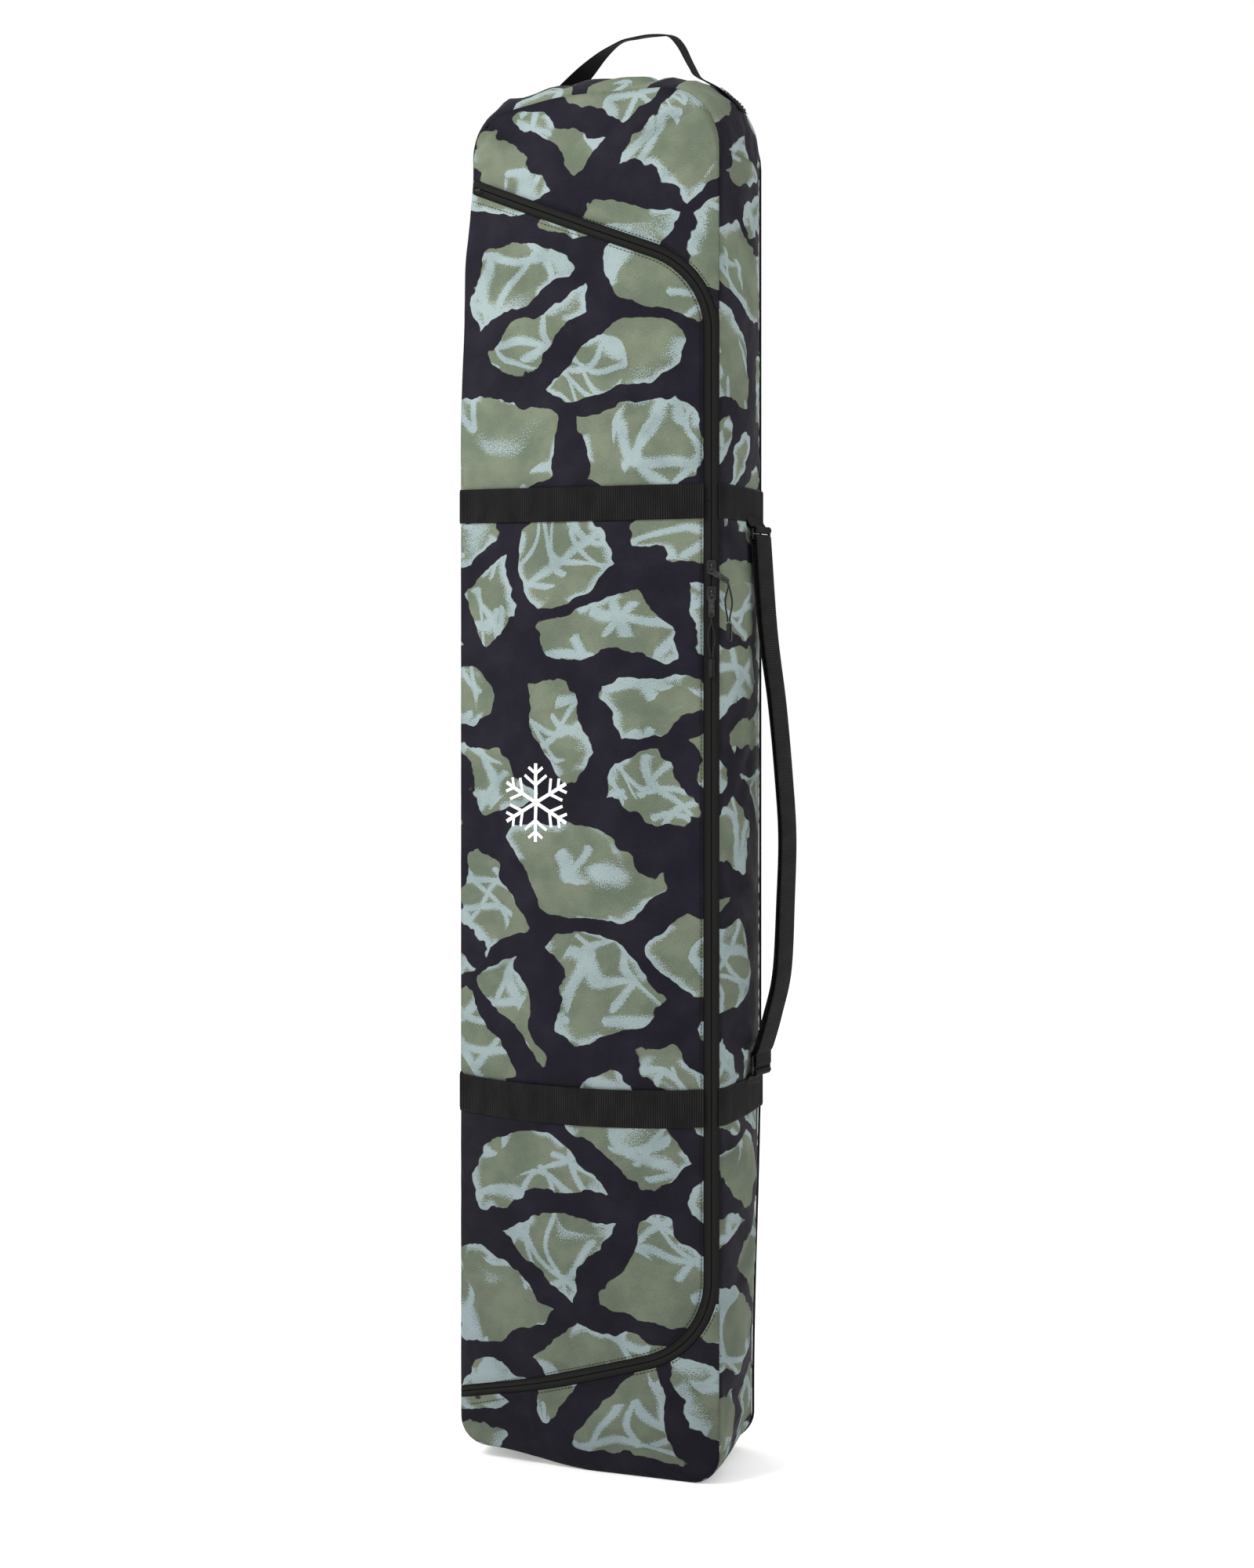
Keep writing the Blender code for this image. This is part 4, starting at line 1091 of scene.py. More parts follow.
def make_gusset_skin(side):
    runs = {
        "left": (outline_side(-1, 190), (-10, 0, 0), LEFT),
        "right": (outline_side(1, 190), (10, 0, 0), RIGHT),
        "top": (outline_top(16, 22), (0, 0, 8), UP),
        "bottom": (outline_base(10, 22), None, -UP),
    }
    run, pull, outward = runs[side]
    shifts = {"left": (2.6, 0.0), "right": (3.3, 0.15), "top": (4.1, 1.4), "bottom": (4.9, 0.0)}
    along, rows, flat = 0.0, [], []
    for i, place in enumerate(run):
        if i:
            along += (place[0] - run[i - 1][0]).length
        turns = [-1 + 2 * k / 20 for k in range(21)]
        rows.append([gusset_point(place, t, inset=SEAM_TUCK, power=0.62) for t in turns])
        shift_x, shift_y = shifts[side]
        flat.append([(t * DEPTH / 2 + shift_x, along + shift_y) for t in turns])
    skin = make_skin(f"gusset_skin_{side}", rows, flat)
    if pull is not None:
        settle(skin, panel_pins(rows), pull, slack=0.004, bending=1.2)

    def hold(at):
        edge = min(abs(at.y + DEPTH / 2), abs(at.y - DEPTH / 2)) if side != "bottom" else 0.0
        ends = 1.0
        if side in ("left", "right"):
            ends = near_seam(min(at.z - BASE_RADIUS, HEIGHT - TOP_RADIUS - at.z), 0.03)
        if side == "top":
            ends = near_seam(at.z - (HEIGHT - TOP_RADIUS), 0.03)
        return near_seam(edge, 0.02) * ends * (1 - 0.7 * band_share(at.z))

    def direction(at):
        if side != "top":
            return outward
        centre = Vector((max(-0.09, min(0.09, at.x)), 0, HEIGHT - TOP_RADIUS))
        away = at - centre
        away.y = 0
        return away.normalized()

    folds = SIDE_FOLDS if side == "right" else [mirrored(each) for each in SIDE_FOLDS]
    crumple(skin, direction, folds if side != "top" else TOP_FOLDS, 0.0024, hold)
    if side == "right":
        keep_off_strap(skin)
    return skin


def keep_off_strap(skin):
    """The stuffed gusset stays clear of the strap beside its ends, wherever the strap swings."""
    inside = STRAP_AXIS.x - LOOP_RADIUS - STRAP_CLEAR
    top, bottom = STRAP_TOP - BAR_PITCH, STRAP_BOTTOM + BAR_PITCH
    for vertex in skin.data.vertices:
        at = vertex.co
        share = (top - at.z) / (top - bottom)
        if not -0.06 < share < 1.06:
            continue
        aside = at.y - STRAP_AXIS.y
        lean = max(-STRAP_LEAN_FRONT * aside, STRAP_LEAN_BACK * aside)
        past = max(0.0, abs(aside) - STRAP_WIDTH / 2 - 0.003)
        at.x = min(at.x, inside + strap_bow(share) - lean + 2 * past)


def mirrored(each):
    start, end, width, depth = each
    return ((-start[0], start[1], start[2]), (-end[0], end[1], end[2]), width, depth)


TOP_FOLDS = [
    ((0.060, -0.070, 1.630), (0.090, 0.030, 1.650), 0.013, -0.0045),
    ((0.120, -0.060, 1.620), (0.140, 0.020, 1.625), 0.012, 0.0040),
    ((-0.040, -0.070, 1.632), (-0.030, 0.010, 1.648), 0.018, -0.0030),
    ((-0.110, -0.060, 1.622), (-0.120, 0.020, 1.630), 0.015, 0.0030),
    ((0.150, -0.055, 1.590), (0.165, 0.030, 1.590), 0.012, -0.0035),
]


SEAM_KNEE = 1.137  # middle of the upper band, above which the slumped left seam leans in
BAND_REACH = 0.05  # a piece that ends within this of the knee isn't split


def kept_side(piece, height, above):
    """Cuts a mesh piece level at a height and keeps one side of it."""
    shape = bmesh.new()
    shape.from_mesh(piece.data)
    bmesh.ops.bisect_plane(
        shape,
        geom=[*shape.verts, *shape.edges, *shape.faces],
        plane_co=(0, 0, height),
        plane_no=(0, 0, 1),
        clear_inner=above,
        clear_outer=not above,
    )
    shape.to_mesh(piece.data)
    shape.free()


def fold_at_seam(piece, *nodes):
    """Hides the CAD nodes; a flap piece that reaches well above the knee of the left seam is cut
    level there into a lower and an upper part, and neither part is turned.
    """
    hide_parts(*nodes)
    low_end = slumped(Vector((-WIDTH / 2, -DEPTH / 2, SEAM_KNEE)))
    top_end = slumped(Vector((-WIDTH / 2, -DEPTH / 2, ZIP_TOP_Z)))
    start = Vector((low_end.x, 0, SEAM_KNEE))
    seam = (Vector((top_end.x, 0, ZIP_TOP_Z)) - start).normalized()
    parts = [(piece, RIGHT)]
    if max(vertex.co.z for vertex in piece.data.vertices) > SEAM_KNEE + BAND_REACH:
        upper = piece.copy()
        upper.data = piece.data.copy()
        upper.name = f"{piece.name}_top"
        bpy.context.scene.collection.objects.link(upper)
        kept_side(piece, SEAM_KNEE, False)
        kept_side(upper, SEAM_KNEE, True)
        parts.append((upper, BACK.cross(seam)))
    for part, way in parts:
        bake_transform(part)
    return [part for part, _ in parts]


def make_shell():
    global FRONT_TREE, SIDE_TREE
    flap = make_flap_skin()
    yokes = [make_yoke_skin("yoke_skin_top", True), make_yoke_skin("yoke_skin_bottom", False)]
    gussets = {side: make_gusset_skin(side) for side in ("left", "right", "top", "bottom")}
    back = make_back_skin()
    FRONT_TREE = tree_of(flap, *yokes)
    SIDE_TREE = tree_of(*gussets.values(), back)
    lining = MATERIALS["lining"]
    for skin in (flap, *yokes, *gussets.values(), back):
        thicken(skin, FABRIC, lining)
    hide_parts("yoke_top")
    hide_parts("yoke_bottom")
    for side, skin in gussets.items():
        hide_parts(f"gusset_{side}", f"lining_{side}")
    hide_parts("back_panel", "lining_back")
    for skin in (*yokes, *gussets.values(), back):
        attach(skin, "bag")
    flaps = fold_at_seam(flap, "flap_panel", "flap_lining")


def on_front(x, z, out=0.0):
    """A point of the settled front, and its normal, at a place seen from the front."""
    hit, normal, _, _ = FRONT_TREE.ray_cast(Vector((x, -1, z)), BACK)
    if hit is None:
        return front_point(x, z, out), FRONT
    if normal.y > 0:
        normal = -normal
    return hit + normal * out, normal


def on_side(origin, direction, out=0.0):
    hit, normal, _, _ = SIDE_TREE.ray_cast(Vector(origin), Vector(direction))
    if hit is None:
        return None
    if normal.dot(Vector(direction)) > 0:
        normal = -normal
    return hit + normal * out


# ---------------------------------------------------------------- zip


def strip_rows(path, profile, side):
    """Rows of a strip beside the zip: profile is (offset, height) pairs out from its centre."""
    rows, flat = [], []
    for place in path:
        row, spots = [], []
        for offset, height in profile:
            at = beside_zip(place, side * offset)
            row.append(front_point(at.x, at.y, height))
            spots.append((place[2], side * offset))
        rows.append(row)
        flat.append(spots)
    return rows, flat


TAPE_THICKNESS = 0.0008
TAPE_PROFILE = [
    # distance out from the zip's centre, height
    (0.00022, -0.0016),
    (0.00035, -0.0004),
    (0.0010, 0.0003),
    (0.0026, 0.0004),
    (0.0050, 0.0000),
    (0.0096, -0.0001),
]


def make_tapes():
    path = even_path(0.008)
    for label, side, body in (("flap", -1, "flap"), ("body", 1, "bag")):
        rows, flat = strip_rows(path, TAPE_PROFILE, side)
        tape = grid_object(f"tape_{label}", rows, flat, MATERIALS["tape"])
        face_outwards(tape)
        thicken(tape, TAPE_THICKNESS)
        if body == "flap":
            fold_at_seam(tape, "zip_tape_flap")
        else:
            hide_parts("zip_tape_body")
            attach(tape, "bag")


COIL_PITCH = 0.0030
COIL_MIDDLE = 0.0021  # out from the zip's centre
COIL_WIDE = 0.0015
COIL_HIGH = 0.0009
COIL_DEPTH = 0.0030  # behind the tape
COIL_WIRE = 0.00038


def make_coils():
    """The nylon coils, sewn to the inside of the tapes."""
    path = even_path(COIL_PITCH / 6)[30:-30]
    for label, side, body in (("flap", -1, "flap"), ("body", 1, "bag")):
        points = []
        for place in path:
            angle = 2 * math.pi * place[2] / COIL_PITCH
            at = beside_zip(place, side * (COIL_MIDDLE + COIL_WIDE * math.cos(angle)))
            points.append(front_point(at.x, at.y, COIL_HIGH * math.sin(angle) - COIL_DEPTH))
        coil = tube(f"coil_{label}", points, COIL_WIRE, MATERIALS["coil"], sides=0)
        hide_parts(f"zip_coil_{label}")
        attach(coil, body)


def make_zip_stitches():
    """Topstitching along both edges of the zip: on the fabric, and a second row on the tape."""
    path = even_path(0.006)
    for label, side, body in (("flap", -1, "flap"), ("body", 1, "bag")):
        lines = []
        for offset, on_cloth in ((TAPE_HALF + 0.0016, True), (TAPE_HALF - 0.0030, False)):
            points, normals = [], []
            for place in path[2:-2]:
                at = place[0] + place[1] * side * offset
                if abs(at.x) > WIDTH / 2 - 0.001:
                    continue
                if on_cloth:
                    point, normal = on_front(at.x, at.y, 0.0003)
                else:
                    point, normal = front_point(at.x, at.y, 0.0004), FRONT
                points.append(point)
                normals.append(normal)
            lines += split_runs(points, normals)
        stitches(f"zip_stitches_{label}", lines, body)


def split_runs(points, normals, most=0.03):
    """Cuts a line of points where two neighbours are far apart."""
    runs, start = [], 0
    for i in range(1, len(points) + 1):
        if i == len(points) or (points[i] - points[i - 1]).length > most:
            if i - start > 2:
                runs.append((points[start:i], normals[start:i]))
            start = i
    return runs


# ---------------------------------------------------------------- webbing bands


def soft_profile(values, passes=3):
    for _ in range(passes):
        values = [
            (values[max(0, i - 1)] + 2 * values[i] + values[min(len(values) - 1, i + 1)]) / 4
            for i in range(len(values))
        ]
    return values


RIB_PITCH = 0.0028
RIB_HEIGHT = 0.00050
WEBBING_PROFILE = [
    # place across, how far below the face, share of the ribs' height
    (-1.0, 0.0003, 0),
    (-0.95, 0.0, 0.3),
    (-0.86, 0.0, 1),
    (0.86, 0.0, 1),
    (0.95, 0.0, 0.3),
    (1.0, 0.0003, 0),
]


def blended(values, at):
    """A value of a list of vectors at a fractional place in it."""
    i = min(len(values) - 2, int(at))
    return values[i].lerp(values[i + 1], at - i)


def ribbed(centres, normals, acrosses):
    """The centre line again, smooth and with two rows to a rib, every other row on a crest."""
    fine = curve_through(centres, 8 * len(centres))
    lengths = measured(fine)
    wants = steps_between(0.0, lengths[-1], 2 * max(2, round(lengths[-1] / RIB_PITCH)))
    made = []
    for k, (i, share) in enumerate(found(lengths, wants)):
        at = (i + share) * (len(centres) - 1) / (len(fine) - 1)
        centre = fine[i].lerp(fine[i + 1], share)
        rise = RIB_HEIGHT * (k % 2)
        made.append((centre, blended(normals, at), blended(acrosses, at), rise))
    return made


def webbing_strip(name, centres, normals, width, acrosses, closed=False):
    """A ribbed webbing strip along centres, its width along acrosses, its edges rounded off."""
    places = ribbed(centres, normals, acrosses)
    if closed:
        places = places[:-1]
    rows, flat = [], []
    for k, (centre, normal, across, rise) in enumerate(places):
        face = normal.normalized()
        side = across.normalized() * width / 2
        row = [centre + side * p + face * (rise * inner - dip) for p, dip, inner in WEBBING_PROFILE]
        rows.append(row)
        flat.append([(k * RIB_PITCH / 2, p * width / 2) for p, _, _ in WEBBING_PROFILE])
    if closed:
        flat.append([(len(places) * RIB_PITCH / 2, y) for _, y in flat[0]])
    strip = grid_object(name, rows, flat, MATERIALS["webbing"], closed=closed)
    thicken(strip, WEBBING - RIB_HEIGHT, offset=0.0)
    return strip


BAND_SAG = {"upper": 0.0020, "lower": 0.0045}  # how far the bands hang down at their middles
BAND_PROUD = {"upper": 0.0010, "lower": 0.0028}  # how far each edge stands past the CAD band's


def make_bands():
    for label, (low, high) in BANDS.items():
        high += BAND_PROUD[label]
        low -= BAND_PROUD[label]
        middle, width = (low + high) / 2, high - low
        sag = BAND_SAG[label]
        xs = steps_between(-WIDTH / 2 + 0.0045, ZIP_X - TAPE_HALF + 0.0022, 60)
        deep = [min(on_front(x, z)[0].y for z in (low, middle, high)) for x in xs]
        deep = soft_profile(deep, 4)
        centres = []
        for i, x in enumerate(xs):
            drop = sag * (1 - (2 * x / WIDTH) ** 2)
            centres.append(Vector((x, deep[i] - 0.0009 - WEBBING / 2, middle - drop)))
        normals = [run.cross(UP).normalized() for run in directions(centres)]
        band = webbing_strip(f"band_front_{label}", centres, normals, width, [UP] * len(centres))
        fold_at_seam(band, f"band_flap_{label}")
        make_band_wrap(label, middle, width)
        make_band_stitches(label, centres, normals, width)


def wrap_side(sign, middle, out):
    """Plan of a band on one side, from the front seam to round the rear corner."""
    place = (Vector((sign * WIDTH / 2, middle)), Vector((sign, 0)))
    points = []
    for across in steps_between(-0.93, 0.94, 22):
        guess = gusset_point(place, across)
        points.append(on_side((sign * 0.4, guess.y, middle), LEFT * sign, out) or guess)
    clear = out + 0.0034
    corner = back_point(sign * WIDTH / 2, middle)
    for degrees in (12, 35, 58, 80):
        angle = math.radians(degrees)
        round_by = Vector((sign * math.cos(angle), math.sin(angle), 0)) * clear
        points.append(corner + round_by)
    return points


def wrap_plan(middle, out):
    """Plan of a band round the sides and the back, from the right front seam to the left one."""
    begin = front_point(ZIP_X + TAPE_HALF - 0.0020, middle, 0.0012)
    points = [begin, begin + Vector((0.0022, 0.0008, 0)), *wrap_side(1, middle, out)]
    for share in steps_between(0.93, -0.93, 48):
        x = WIDTH / 2 * share
        points.append(on_side((x, 0.4, middle), FRONT, out) or back_point(x, middle, out))
    end = front_point(-WIDTH / 2 + 0.002, middle, 0.0012)
    return points + wrap_side(-1, middle, out)[::-1] + [end + Vector((-0.003, 0.0010, 0)), end]


def make_band_wrap(label, middle, width):
    centres = wrap_plan(middle, 0.0010 + WEBBING / 2)
    xs = soft_profile([p.x for p in centres], 2)
    ys = soft_profile([p.y for p in centres], 2)
    centres = [Vector((x, y, middle)) for x, y in zip(xs, ys)]
    last = len(centres) - 1
    normals = [run.cross(UP).normalized() for run in directions(centres)]
    band = webbing_strip(f"band_round_{label}", centres, normals, width, [UP] * len(centres))
    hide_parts(f"band_wrap_{label}")
    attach(band, "bag")
    lines = [row_across(centres[t], normals[t], width) for t in (6, last - 6)]
    stitches(f"band_round_stitches_{label}", lines, "bag")


def row_across(centre, face, width):
    """The line of a row of stitches across a band, and its normals."""
    middle = centre + face * (WEBBING / 2 + 0.0002)
    reach = width / 2 - 0.003
    return [middle + UP * step for step in steps_between(-reach, reach, 12)], [face] * 13


def make_band_stitches(label, centres, normals, width):
    """Two rows of stitching across each end of a band."""
    last = len(centres) - 1
    lines = [row_across(centres[t], normals[t], width) for t in (1, 2, last - 2, last - 1)]
    stitches(f"band_stitches_{label}", lines, "flap")


# ---------------------------------------------------------------- back seam


PIPING_RADIUS = 0.0016


def make_piping():
    outline = outline_side(1, 60) + outline_top(10, 12)[::-1][1:] + outline_side(-1, 60)[::-1][1:]
    outline += outline_base(8, 12)[1:-1]
    reach = PIPING_RADIUS + 0.0003
    points = []
    for point, normal in outline:
        down = max(0.0, -normal.y)
        at = point + normal * (reach * 0.7 * (1 - down)) + Vector((0, reach * down))
        rear = back_point(point.x, point.y).y + reach * 0.75
        points.append(slumped(Vector((at.x, rear, at.y))))
    piping = tube("back_piping", points, PIPING_RADIUS, MATERIALS["tape_plain"], closed=True)
    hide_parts("piping_back")
    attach(piping, "bag")


# ---------------------------------------------------------------- handle

HANDLE_WIDTH = 0.025
HANDLE_PATCH_Y = 0.044  # where its left end is sewn to the top
HANDLE_PATCH_XS = (-0.118, -0.111, -0.104, -0.097, -0.0905)
HANDLE_ARCH = [
    # the webbing's middle line, left to right: a straight leg, a short flat top, a straight leg
    Vector((-0.078, 0.044, 1.6490)),
    Vector((-0.052, 0.042, 1.6700)),
    Vector((-0.024, 0.038, 1.6925)),
    Vector((0.000, 0.033, 1.7045)),
    Vector((0.022, 0.028, 1.7068)),
    Vector((0.048, 0.023, 1.7070)),
    Vector((0.072, 0.018, 1.7030)),
    Vector((0.086, 0.014, 1.6900)),
    Vector((0.099, 0.010, 1.6670)),
    Vector((0.112, 0.006, 1.6450)),
]
HANDLE_TURNS = [
    Vector((0.45, 0.75, -0.45)),
    Vector((0.28, 0.78, -0.40)),
    Vector((-0.04, 0.93, -0.08)),
    Vector((-0.28, 0.93, 0.16)),
    Vector((-0.26, 0.94, 0.16)),
    Vector((-0.25, 0.94, 0.16)),
    Vector((-0.15, 0.95, 0.26)),
    Vector((-0.08, 0.95, 0.36)),
    Vector((-0.05, 0.97, 0.25)),
    Vector((0.00, 1.00, 0.05)),
]


def laid(guess, out):
    """The point of the shell nearest to a guess, lifted off it."""
    hit, normal, _, _ = SIDE_TREE.find_nearest(guess)
    if normal.dot(guess - Vector((0, 0, HEIGHT / 2))) < 0:
        normal = -normal
    return hit + normal * out


def on_top(x, y, out):
    hit = on_side((x, y, 2.2), -UP, out)
    return hit if hit is not None else Vector((x, y, HEIGHT))


def make_handle():
    """One webbing from the patch sewn behind the top, over the arch, to the patch at its right."""
    arch = curve_through(HANDLE_ARCH, 60)
    turns = curve_through(HANDLE_TURNS, 60)
    left = [on_top(x, HANDLE_PATCH_Y, 0.0016) for x in HANDLE_PATCH_XS]
    corner = (WIDTH / 2 - TOP_RADIUS, HEIGHT - TOP_RADIUS)
    shoulder = arc(corner, TOP_RADIUS, math.radians(62), math.radians(34), 7)
    right = [laid(gusset_point(place, 0.03, 0.004), 0.0013) for place in shoulder]
    centres = left + arch + right
    acrosses = [BACK] * len(left) + turns + [BACK] * len(right)
    smooth = [soft_profile([p[axis] for p in centres], 2) for axis in range(3)]
    centres = [Vector(p) for p in zip(*smooth)]
    normals, wides = [], []
    for run, across in zip(directions(centres), acrosses):
        wides.append((across - run * across.dot(run)).normalized())
        normals.append(run.cross(wides[-1]))
    handle = webbing_strip("handle", centres, normals, HANDLE_WIDTH, wides)
    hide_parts("handle_webbing", "handle_anchor_left", "handle_anchor_right")
    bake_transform(handle)
    lines = []
    for patch in (left[:4], right[1:]):
        lines += cross_box(patch, HANDLE_WIDTH)
    stitches("handle_stitches", lines, "bag", "thread_grey")


def cross_box(patch, width):
    """A sewn box with a cross in it, on a webbing patch that follows the given centre points."""
    first, last = patch[0], patch[-1]
    face = (last - first).cross(BACK).normalized()
    if face.z < 0:
        face = -face
    lift = face * (WEBBING / 2 + RIB_HEIGHT + 0.0003)
    reach = width / 2 - 0.003
    corners = [(0, -1), (0, 1), (1, 1), (1, -1)]
    lines = []
    for i, j in ((0, 1), (1, 2), (2, 3), (3, 0), (0, 2), (1, 3)):
        run = []
        for k in range(9):
            along, aside = (a + (b - a) * k / 8 for a, b in zip(corners[i], corners[j]))
            run.append(blended(patch, along * (len(patch) - 1)) + lift + BACK * aside * reach)
        lines.append((run, [face] * 9))
    return lines


# ---------------------------------------------------------------- shoulder strap

STRAP_WIDTH = 0.038
STRAP_AXIS = Vector((0.1842, 0.0220, 0))
STRAP_AZIMUTH = math.radians(-10.0)
BAR = 0.0034
BAR_PITCH = 0.0095
STRAP_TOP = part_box("ring_upper")[1].z - BAR / 2
STRAP_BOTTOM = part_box("tri_glide")[0].z + BAR / 2
LOOP_RADIUS = 0.0037
STRAP_BOW = [(0, 0), (0.18, 0.0087), (0.325, 0.0207), (0.47, 0.0294), (0.58, 0.0338)]
STRAP_BOW += [(0.70, 0.0318), (0.84, 0.0275), (0.927, 0.0152), (0.985, 0.0044), (1, 0)]
STRAP_CLEAR = 0.0024  # from the inner layer's middle to the gusset
STRAP_LEAN_FRONT = math.tan(math.radians(14.5))  # the strap's slant at its two limits
STRAP_LEAN_BACK = math.tan(math.radians(8.5))
LAYER_LEAN = 0.0030  # how far the inner layer leans to the outer one at mid strap
OUT = Vector((math.cos(STRAP_AZIMUTH), math.sin(STRAP_AZIMUTH), 0))
WIDE = UP.cross(OUT)


def strap_place(bow, z):
    return STRAP_AXIS + OUT * bow + UP * z


def strap_bow(share):
    """How far the strap stands out at a share of its height, along straight lines."""
    for (low, near), (high, far) in zip(STRAP_BOW, STRAP_BOW[1:]):
        if low <= share <= high:
            return near + (far - near) * (share - low) / (high - low)
    return 0.0


def half_turn(height, start, steps=10):
    made = []
    for i in range(steps + 1):
        angle = start + math.pi * i / steps
        made.append((LOOP_RADIUS * math.cos(angle), height + LOOP_RADIUS * math.sin(angle)))
    return made


def strap_layer(offset, top, bottom, lean, steps=46):
    line = curve_through([Vector(point) for point in STRAP_BOW], steps + 1)
    made = []
    for share, bow in line:
        nearer = lean * math.sin(math.pi * share)
        made.append((offset + bow + nearer, top + (bottom - top) * share))
    return made


def make_strap():
    top, bottom = STRAP_TOP - BAR_PITCH, STRAP_BOTTOM + BAR_PITCH
    clear = bottom + BAR_PITCH + BAR
    outer = strap_layer(LOOP_RADIUS, top, clear, 0)
    inner = strap_layer(-LOOP_RADIUS, top, clear, LAYER_LEAN)
    line = half_turn(top, 0)[:-1] + inner + half_turn(bottom, math.pi) + outer[::-1][:-1]
    centres = [strap_place(bow, z) for bow, z in line]
    centres.append(centres[0])
    normals = []
    for i in range(len(centres)):
        run = centres[(i + 1) % (len(centres) - 1)] - centres[i - 1 if i else -2]
        normals.append(WIDE.cross(run).normalized())
    acrosses = [WIDE] * len(centres)
    strap = webbing_strip("strap", centres, normals, STRAP_WIDTH, acrosses, closed=True)
    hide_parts("strap_webbing")
    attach(strap, "strap")
    make_tabs()
    make_buckles()


def make_tabs():
    """The two sewn tabs: each comes out from beside its band and loops round a buckle's bar."""
    for label, bar, sign in (("upper", STRAP_TOP, 1), ("lower", STRAP_BOTTOM, -1)):
        edge = BANDS[label][0 if sign > 0 else 1]
        foot = on_side((0.4, STRAP_AXIS.y, edge + sign * 0.006), LEFT, 0.0022)
        mouth = on_side((0.4, STRAP_AXIS.y, edge - sign * 0.004), LEFT, 0.0026)
        line = [foot, mouth]
        for i in range(13):
            angle = math.pi * (1 - 1.72 * i / 12)
            drop = sign * LOOP_RADIUS * math.sin(angle)
            line.append(strap_place(LOOP_RADIUS * math.cos(angle), bar - drop))
        line.append(mouth + OUT * 0.0032 + UP * sign * 0.001)
        line.append(foot + OUT * 0.0022)
        centres = curve_through(line, 48)
        normals = [run.cross(WIDE).normalized() for run in directions(centres)]
        tab = webbing_strip(f"tab_{label}", centres, normals, STRAP_WIDTH, [WIDE] * len(centres))
        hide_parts(f"strap_tab_{label}", f"strap_anchor_{label}")
        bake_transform(tab)


def buckle_outline(half, low, high, radius, steps=6):
    made = []
    for x, y, quarter in ((half, high, 0), (-half, high, 1), (-half, low, 2), (half, low, 3)):
        cx = x - radius if x > 0 else x + radius
        cy = y - radius if y == high else y + radius
        for i in range(steps + 1):
            angle = math.pi / 2 * (quarter + i / steps)
            made.append((cx + radius * math.cos(angle), cy + radius * math.sin(angle)))
    return made


def make_buckle(name, low, slots, node):
    half = STRAP_WIDTH / 2 + 0.0008
    high = BAR_PITCH * slots
    outlines = [buckle_outline(half + BAR, -BAR / 2, high + BAR / 2, 0.0030)]
    for i in range(slots):
        floor = BAR_PITCH * i + BAR / 2
        outlines.append(buckle_outline(half, floor, floor + BAR_PITCH - BAR, 0.0010))
    curve = bpy.data.curves.new(name, "CURVE")
    curve.dimensions = "2D"
    curve.fill_mode = "BOTH"
    curve.extrude = 0.0007
    curve.bevel_depth = 0.0007
    curve.bevel_resolution = 2
    curve.offset = -0.0007
    for points in outlines:
        spline = curve.splines.new("POLY")
        spline.points.add(len(points) - 1)
        for target, (x, y) in zip(spline.points, points):
            target.co = (x, y, 0, 1)
        spline.use_cyclic_u = True
    buckle = link(name, curve, MATERIALS["plastic"])
    turned = Matrix((WIDE, UP, OUT)).transposed().to_4x4()
    buckle.matrix_world = Matrix.Translation(strap_place(0, low)) @ turned
    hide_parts(node)
    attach(buckle, "strap")


def make_buckles():
    make_buckle("ring", STRAP_TOP - BAR_PITCH, 1, "ring_upper")
    make_buckle("glide", STRAP_BOTTOM, 2, "tri_glide")


# ---------------------------------------------------------------- sliders and pulls


KEPT_NODES = {
    # CAD shapes that are right as they are, and the material that each gets
    "lining_top": "lining",
    "zip_stop_upper": "coil",
    "zip_stop_lower": "coil",
    "slider_upper": "metal",
    "slider_lower": "metal",
    "pull_tab_upper": "metal",
    "pull_tab_lower": "metal",
    "pull_grip_upper": "plastic",
    "pull_grip_lower": "plastic",
}


def finish_kept_nodes():
    for node, used in KEPT_NODES.items():
        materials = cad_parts[node].data.materials
        materials.clear()
        materials.append(MATERIALS[used])


CORD_DIAMETER = 0.0020
CORD_DROP = 0.046
CORD_TURN = 0.0044
CORD_SPREAD = 0.0034
CORD_PINCH = 0.0012
CORD_OUT = Vector((0.330, -0.944, 0))
CORD_STARTS = {
    # label: where the cord hangs from, and the way its tab points
    "upper": (Vector((0.17632, -0.07626, 1.043)), Vector((0.8005, 0.2799, -0.5299))),
    "lower": (Vector((0.15758, -0.08281, 1.002)), Vector((0, 0, -1))),
}


def cord_route(start, along):
    """Up one leg from the grip, over through the tab's hole, and down the other leg."""
    side = (-UP).cross(CORD_OUT).normalized()
    front_leg, back_leg = [], []
    for i in range(1, 11):
        share = i / 10
        centre = start - UP * (CORD_DROP * share)
        deep = CORD_OUT * (CORD_TURN * (1 - share) ** 2)
        open_by = CORD_SPREAD * math.sin(math.pi * share) ** 2 + CORD_PINCH * share
        front_leg.append(centre + deep + side * open_by)
        back_leg.append(centre - deep - side * open_by)
    bow = []
    for k in range(1, 6):
        angle = math.pi * k / 6
        side = CORD_OUT * CORD_TURN * math.cos(angle)
        bow.append(start + side - along * CORD_TURN * math.sin(angle))
    return front_leg[::-1] + bow + back_leg


def make_pull_cords():
    for label, (start, along) in CORD_STARTS.items():
        route = cord_route(start, along)
        line = curve_through(route, 80)
        name = f"pull_loop_{label}"
        cord = tube(name, line, CORD_DIAMETER / 2, MATERIALS["cord"], sides=3)
        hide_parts(f"pull_cord_{label}")
        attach(cord, f"pull_{label}")


# ---------------------------------------------------------------- printed mark

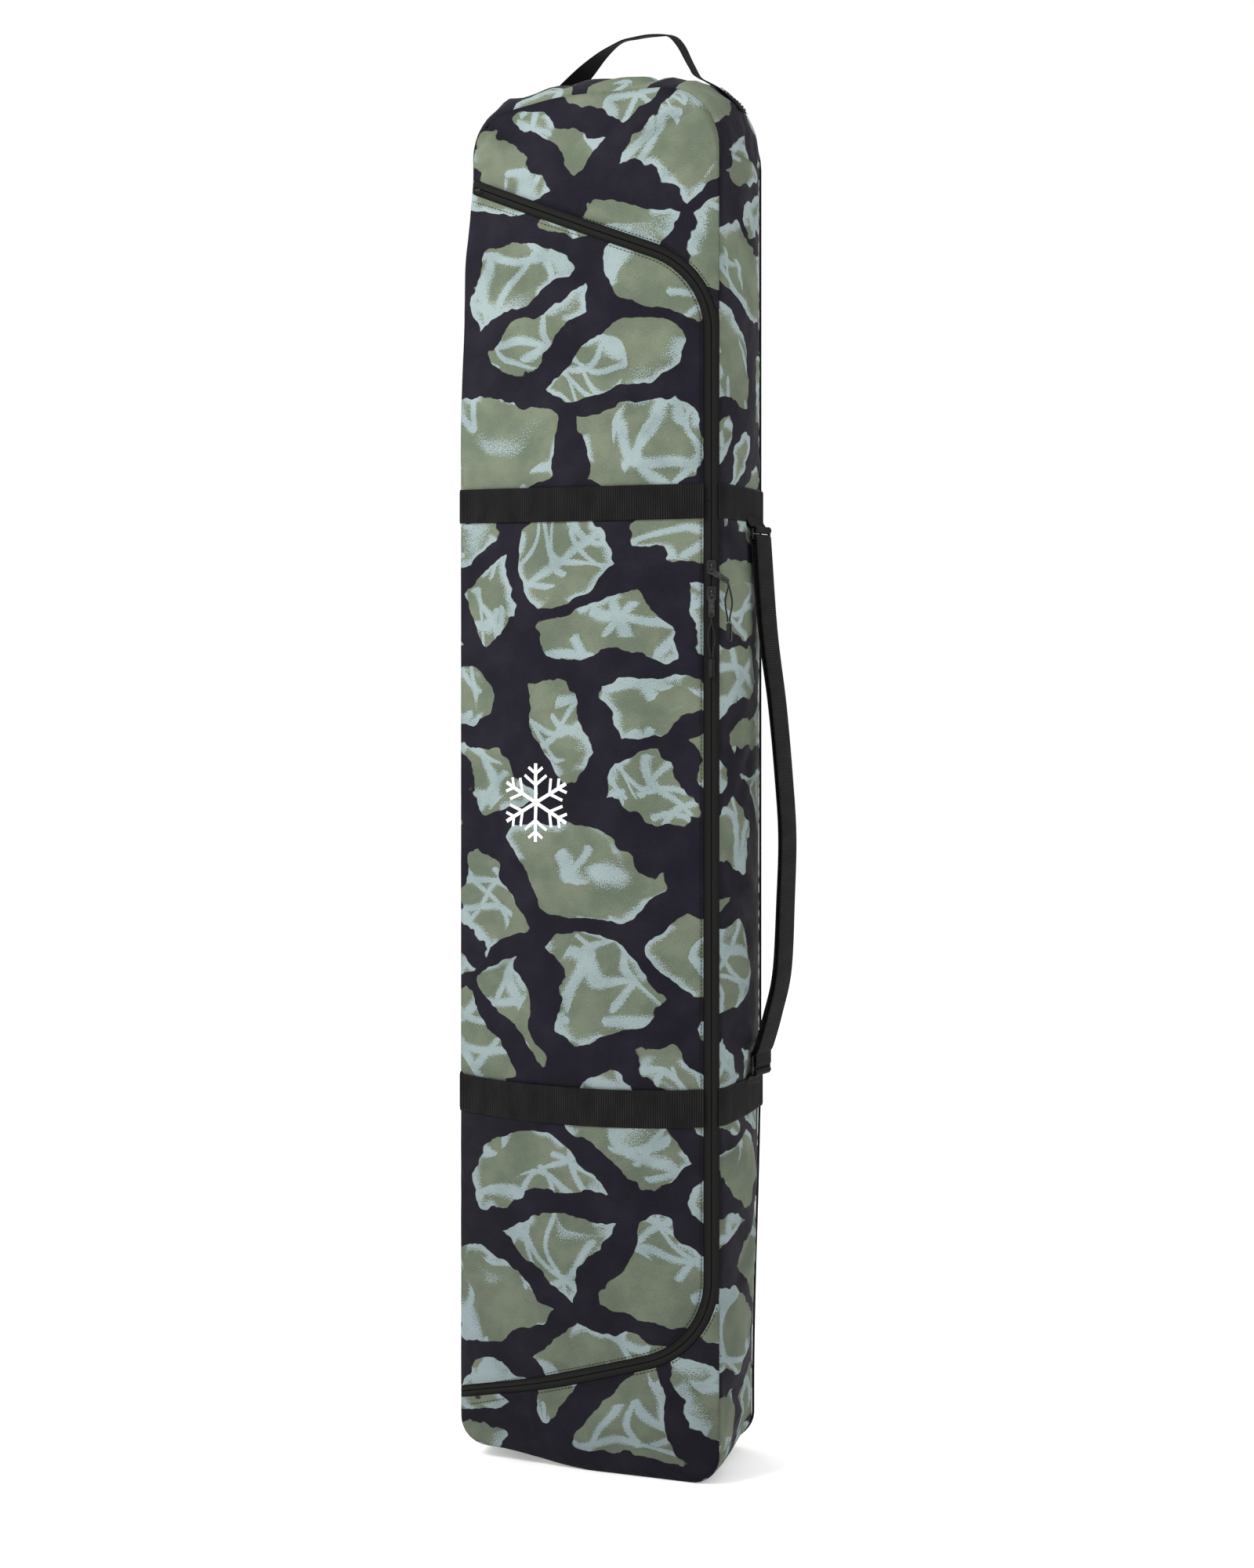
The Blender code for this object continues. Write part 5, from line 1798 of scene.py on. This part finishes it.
MARK_CENTRE = (-0.052, 0.786)
MARK_RADIUS = 0.046
MARK_STEPS = 8
ARM_WIDTH = 0.0042
TWIG_WIDTH = 0.0034
TWIG_LEAN = math.radians(52)
TWIGS = ((0.45, 0.40), (0.74, 0.26))  # share of the arm where it grows, and its length


def make_mark():
    """A plain six-armed snowflake printed in white on the front."""
    centre = Vector(MARK_CENTRE)
    bars = []
    for arm in range(6):
        angle = math.radians(90 + 60 * arm)
        along = Vector((math.cos(angle), math.sin(angle)))
        bars.append((centre, centre + along * MARK_RADIUS, ARM_WIDTH))
        for share, length in TWIGS:
            root = centre + along * MARK_RADIUS * share
            for turn in (-1, 1):
                lean = angle + turn * TWIG_LEAN
                tip = root + Vector((math.cos(lean), math.sin(lean))) * MARK_RADIUS * length
                bars.append((root, tip, TWIG_WIDTH))
    verts, faces = [], []
    for start, end, width in bars:
        side = Vector((-(end - start).y, (end - start).x)).normalized() * width / 2
        first = len(verts)
        for i in range(MARK_STEPS + 1):
            spot = start.lerp(end, i / MARK_STEPS)
            for edge in (-1, 1):
                at = spot + side * edge
                verts.append(on_front(at.x, at.y, 0.00035 + 0.00001 * len(faces) / 50)[0])
        for a in range(first, first + 2 * MARK_STEPS, 2):
            faces.append((a, a + 1, a + 3, a + 2))
    mesh = bpy.data.meshes.new("front_mark")
    mesh.from_pydata(verts, [], faces)
    mark = link("front_mark", mesh, MATERIALS["mark"])
    face_outwards(mark)
    thicken(mark, 0.0001)
    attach(mark, "flap")


# ---------------------------------------------------------------- the whole scene


def make_materials():
    MATERIALS.update(
        {
            "print": print_material(),
            "lining": lining_material(),
            "tape": tape_material(),
            "tape_plain": thread_material("binding", (0.0060, 0.0060, 0.0060, 1)),
            "webbing": webbing_material(),
            "coil": plastic_material("coil_plastic", (0.0060, 0.0060, 0.0065, 1), 0.35, 0.3),
            "plastic": plastic_material("moulded_plastic", (0.0050, 0.0050, 0.0056, 1), 0.24, 0.3),
            "metal": metal_material(),
            "cord": cord_material(),
            "thread": thread_material("thread_black", (0.0070, 0.0070, 0.0080, 1)),
            "thread_grey": thread_material("thread_grey", (0.020, 0.020, 0.020, 1)),
            "mark": mark_material(),
        }
    )


make_camera()
make_studio()
make_materials()
make_shell()
make_tapes()
make_coils()
make_zip_stitches()
make_bands()
make_piping()
make_handle()
make_strap()
finish_kept_nodes()
make_pull_cords()
make_mark()
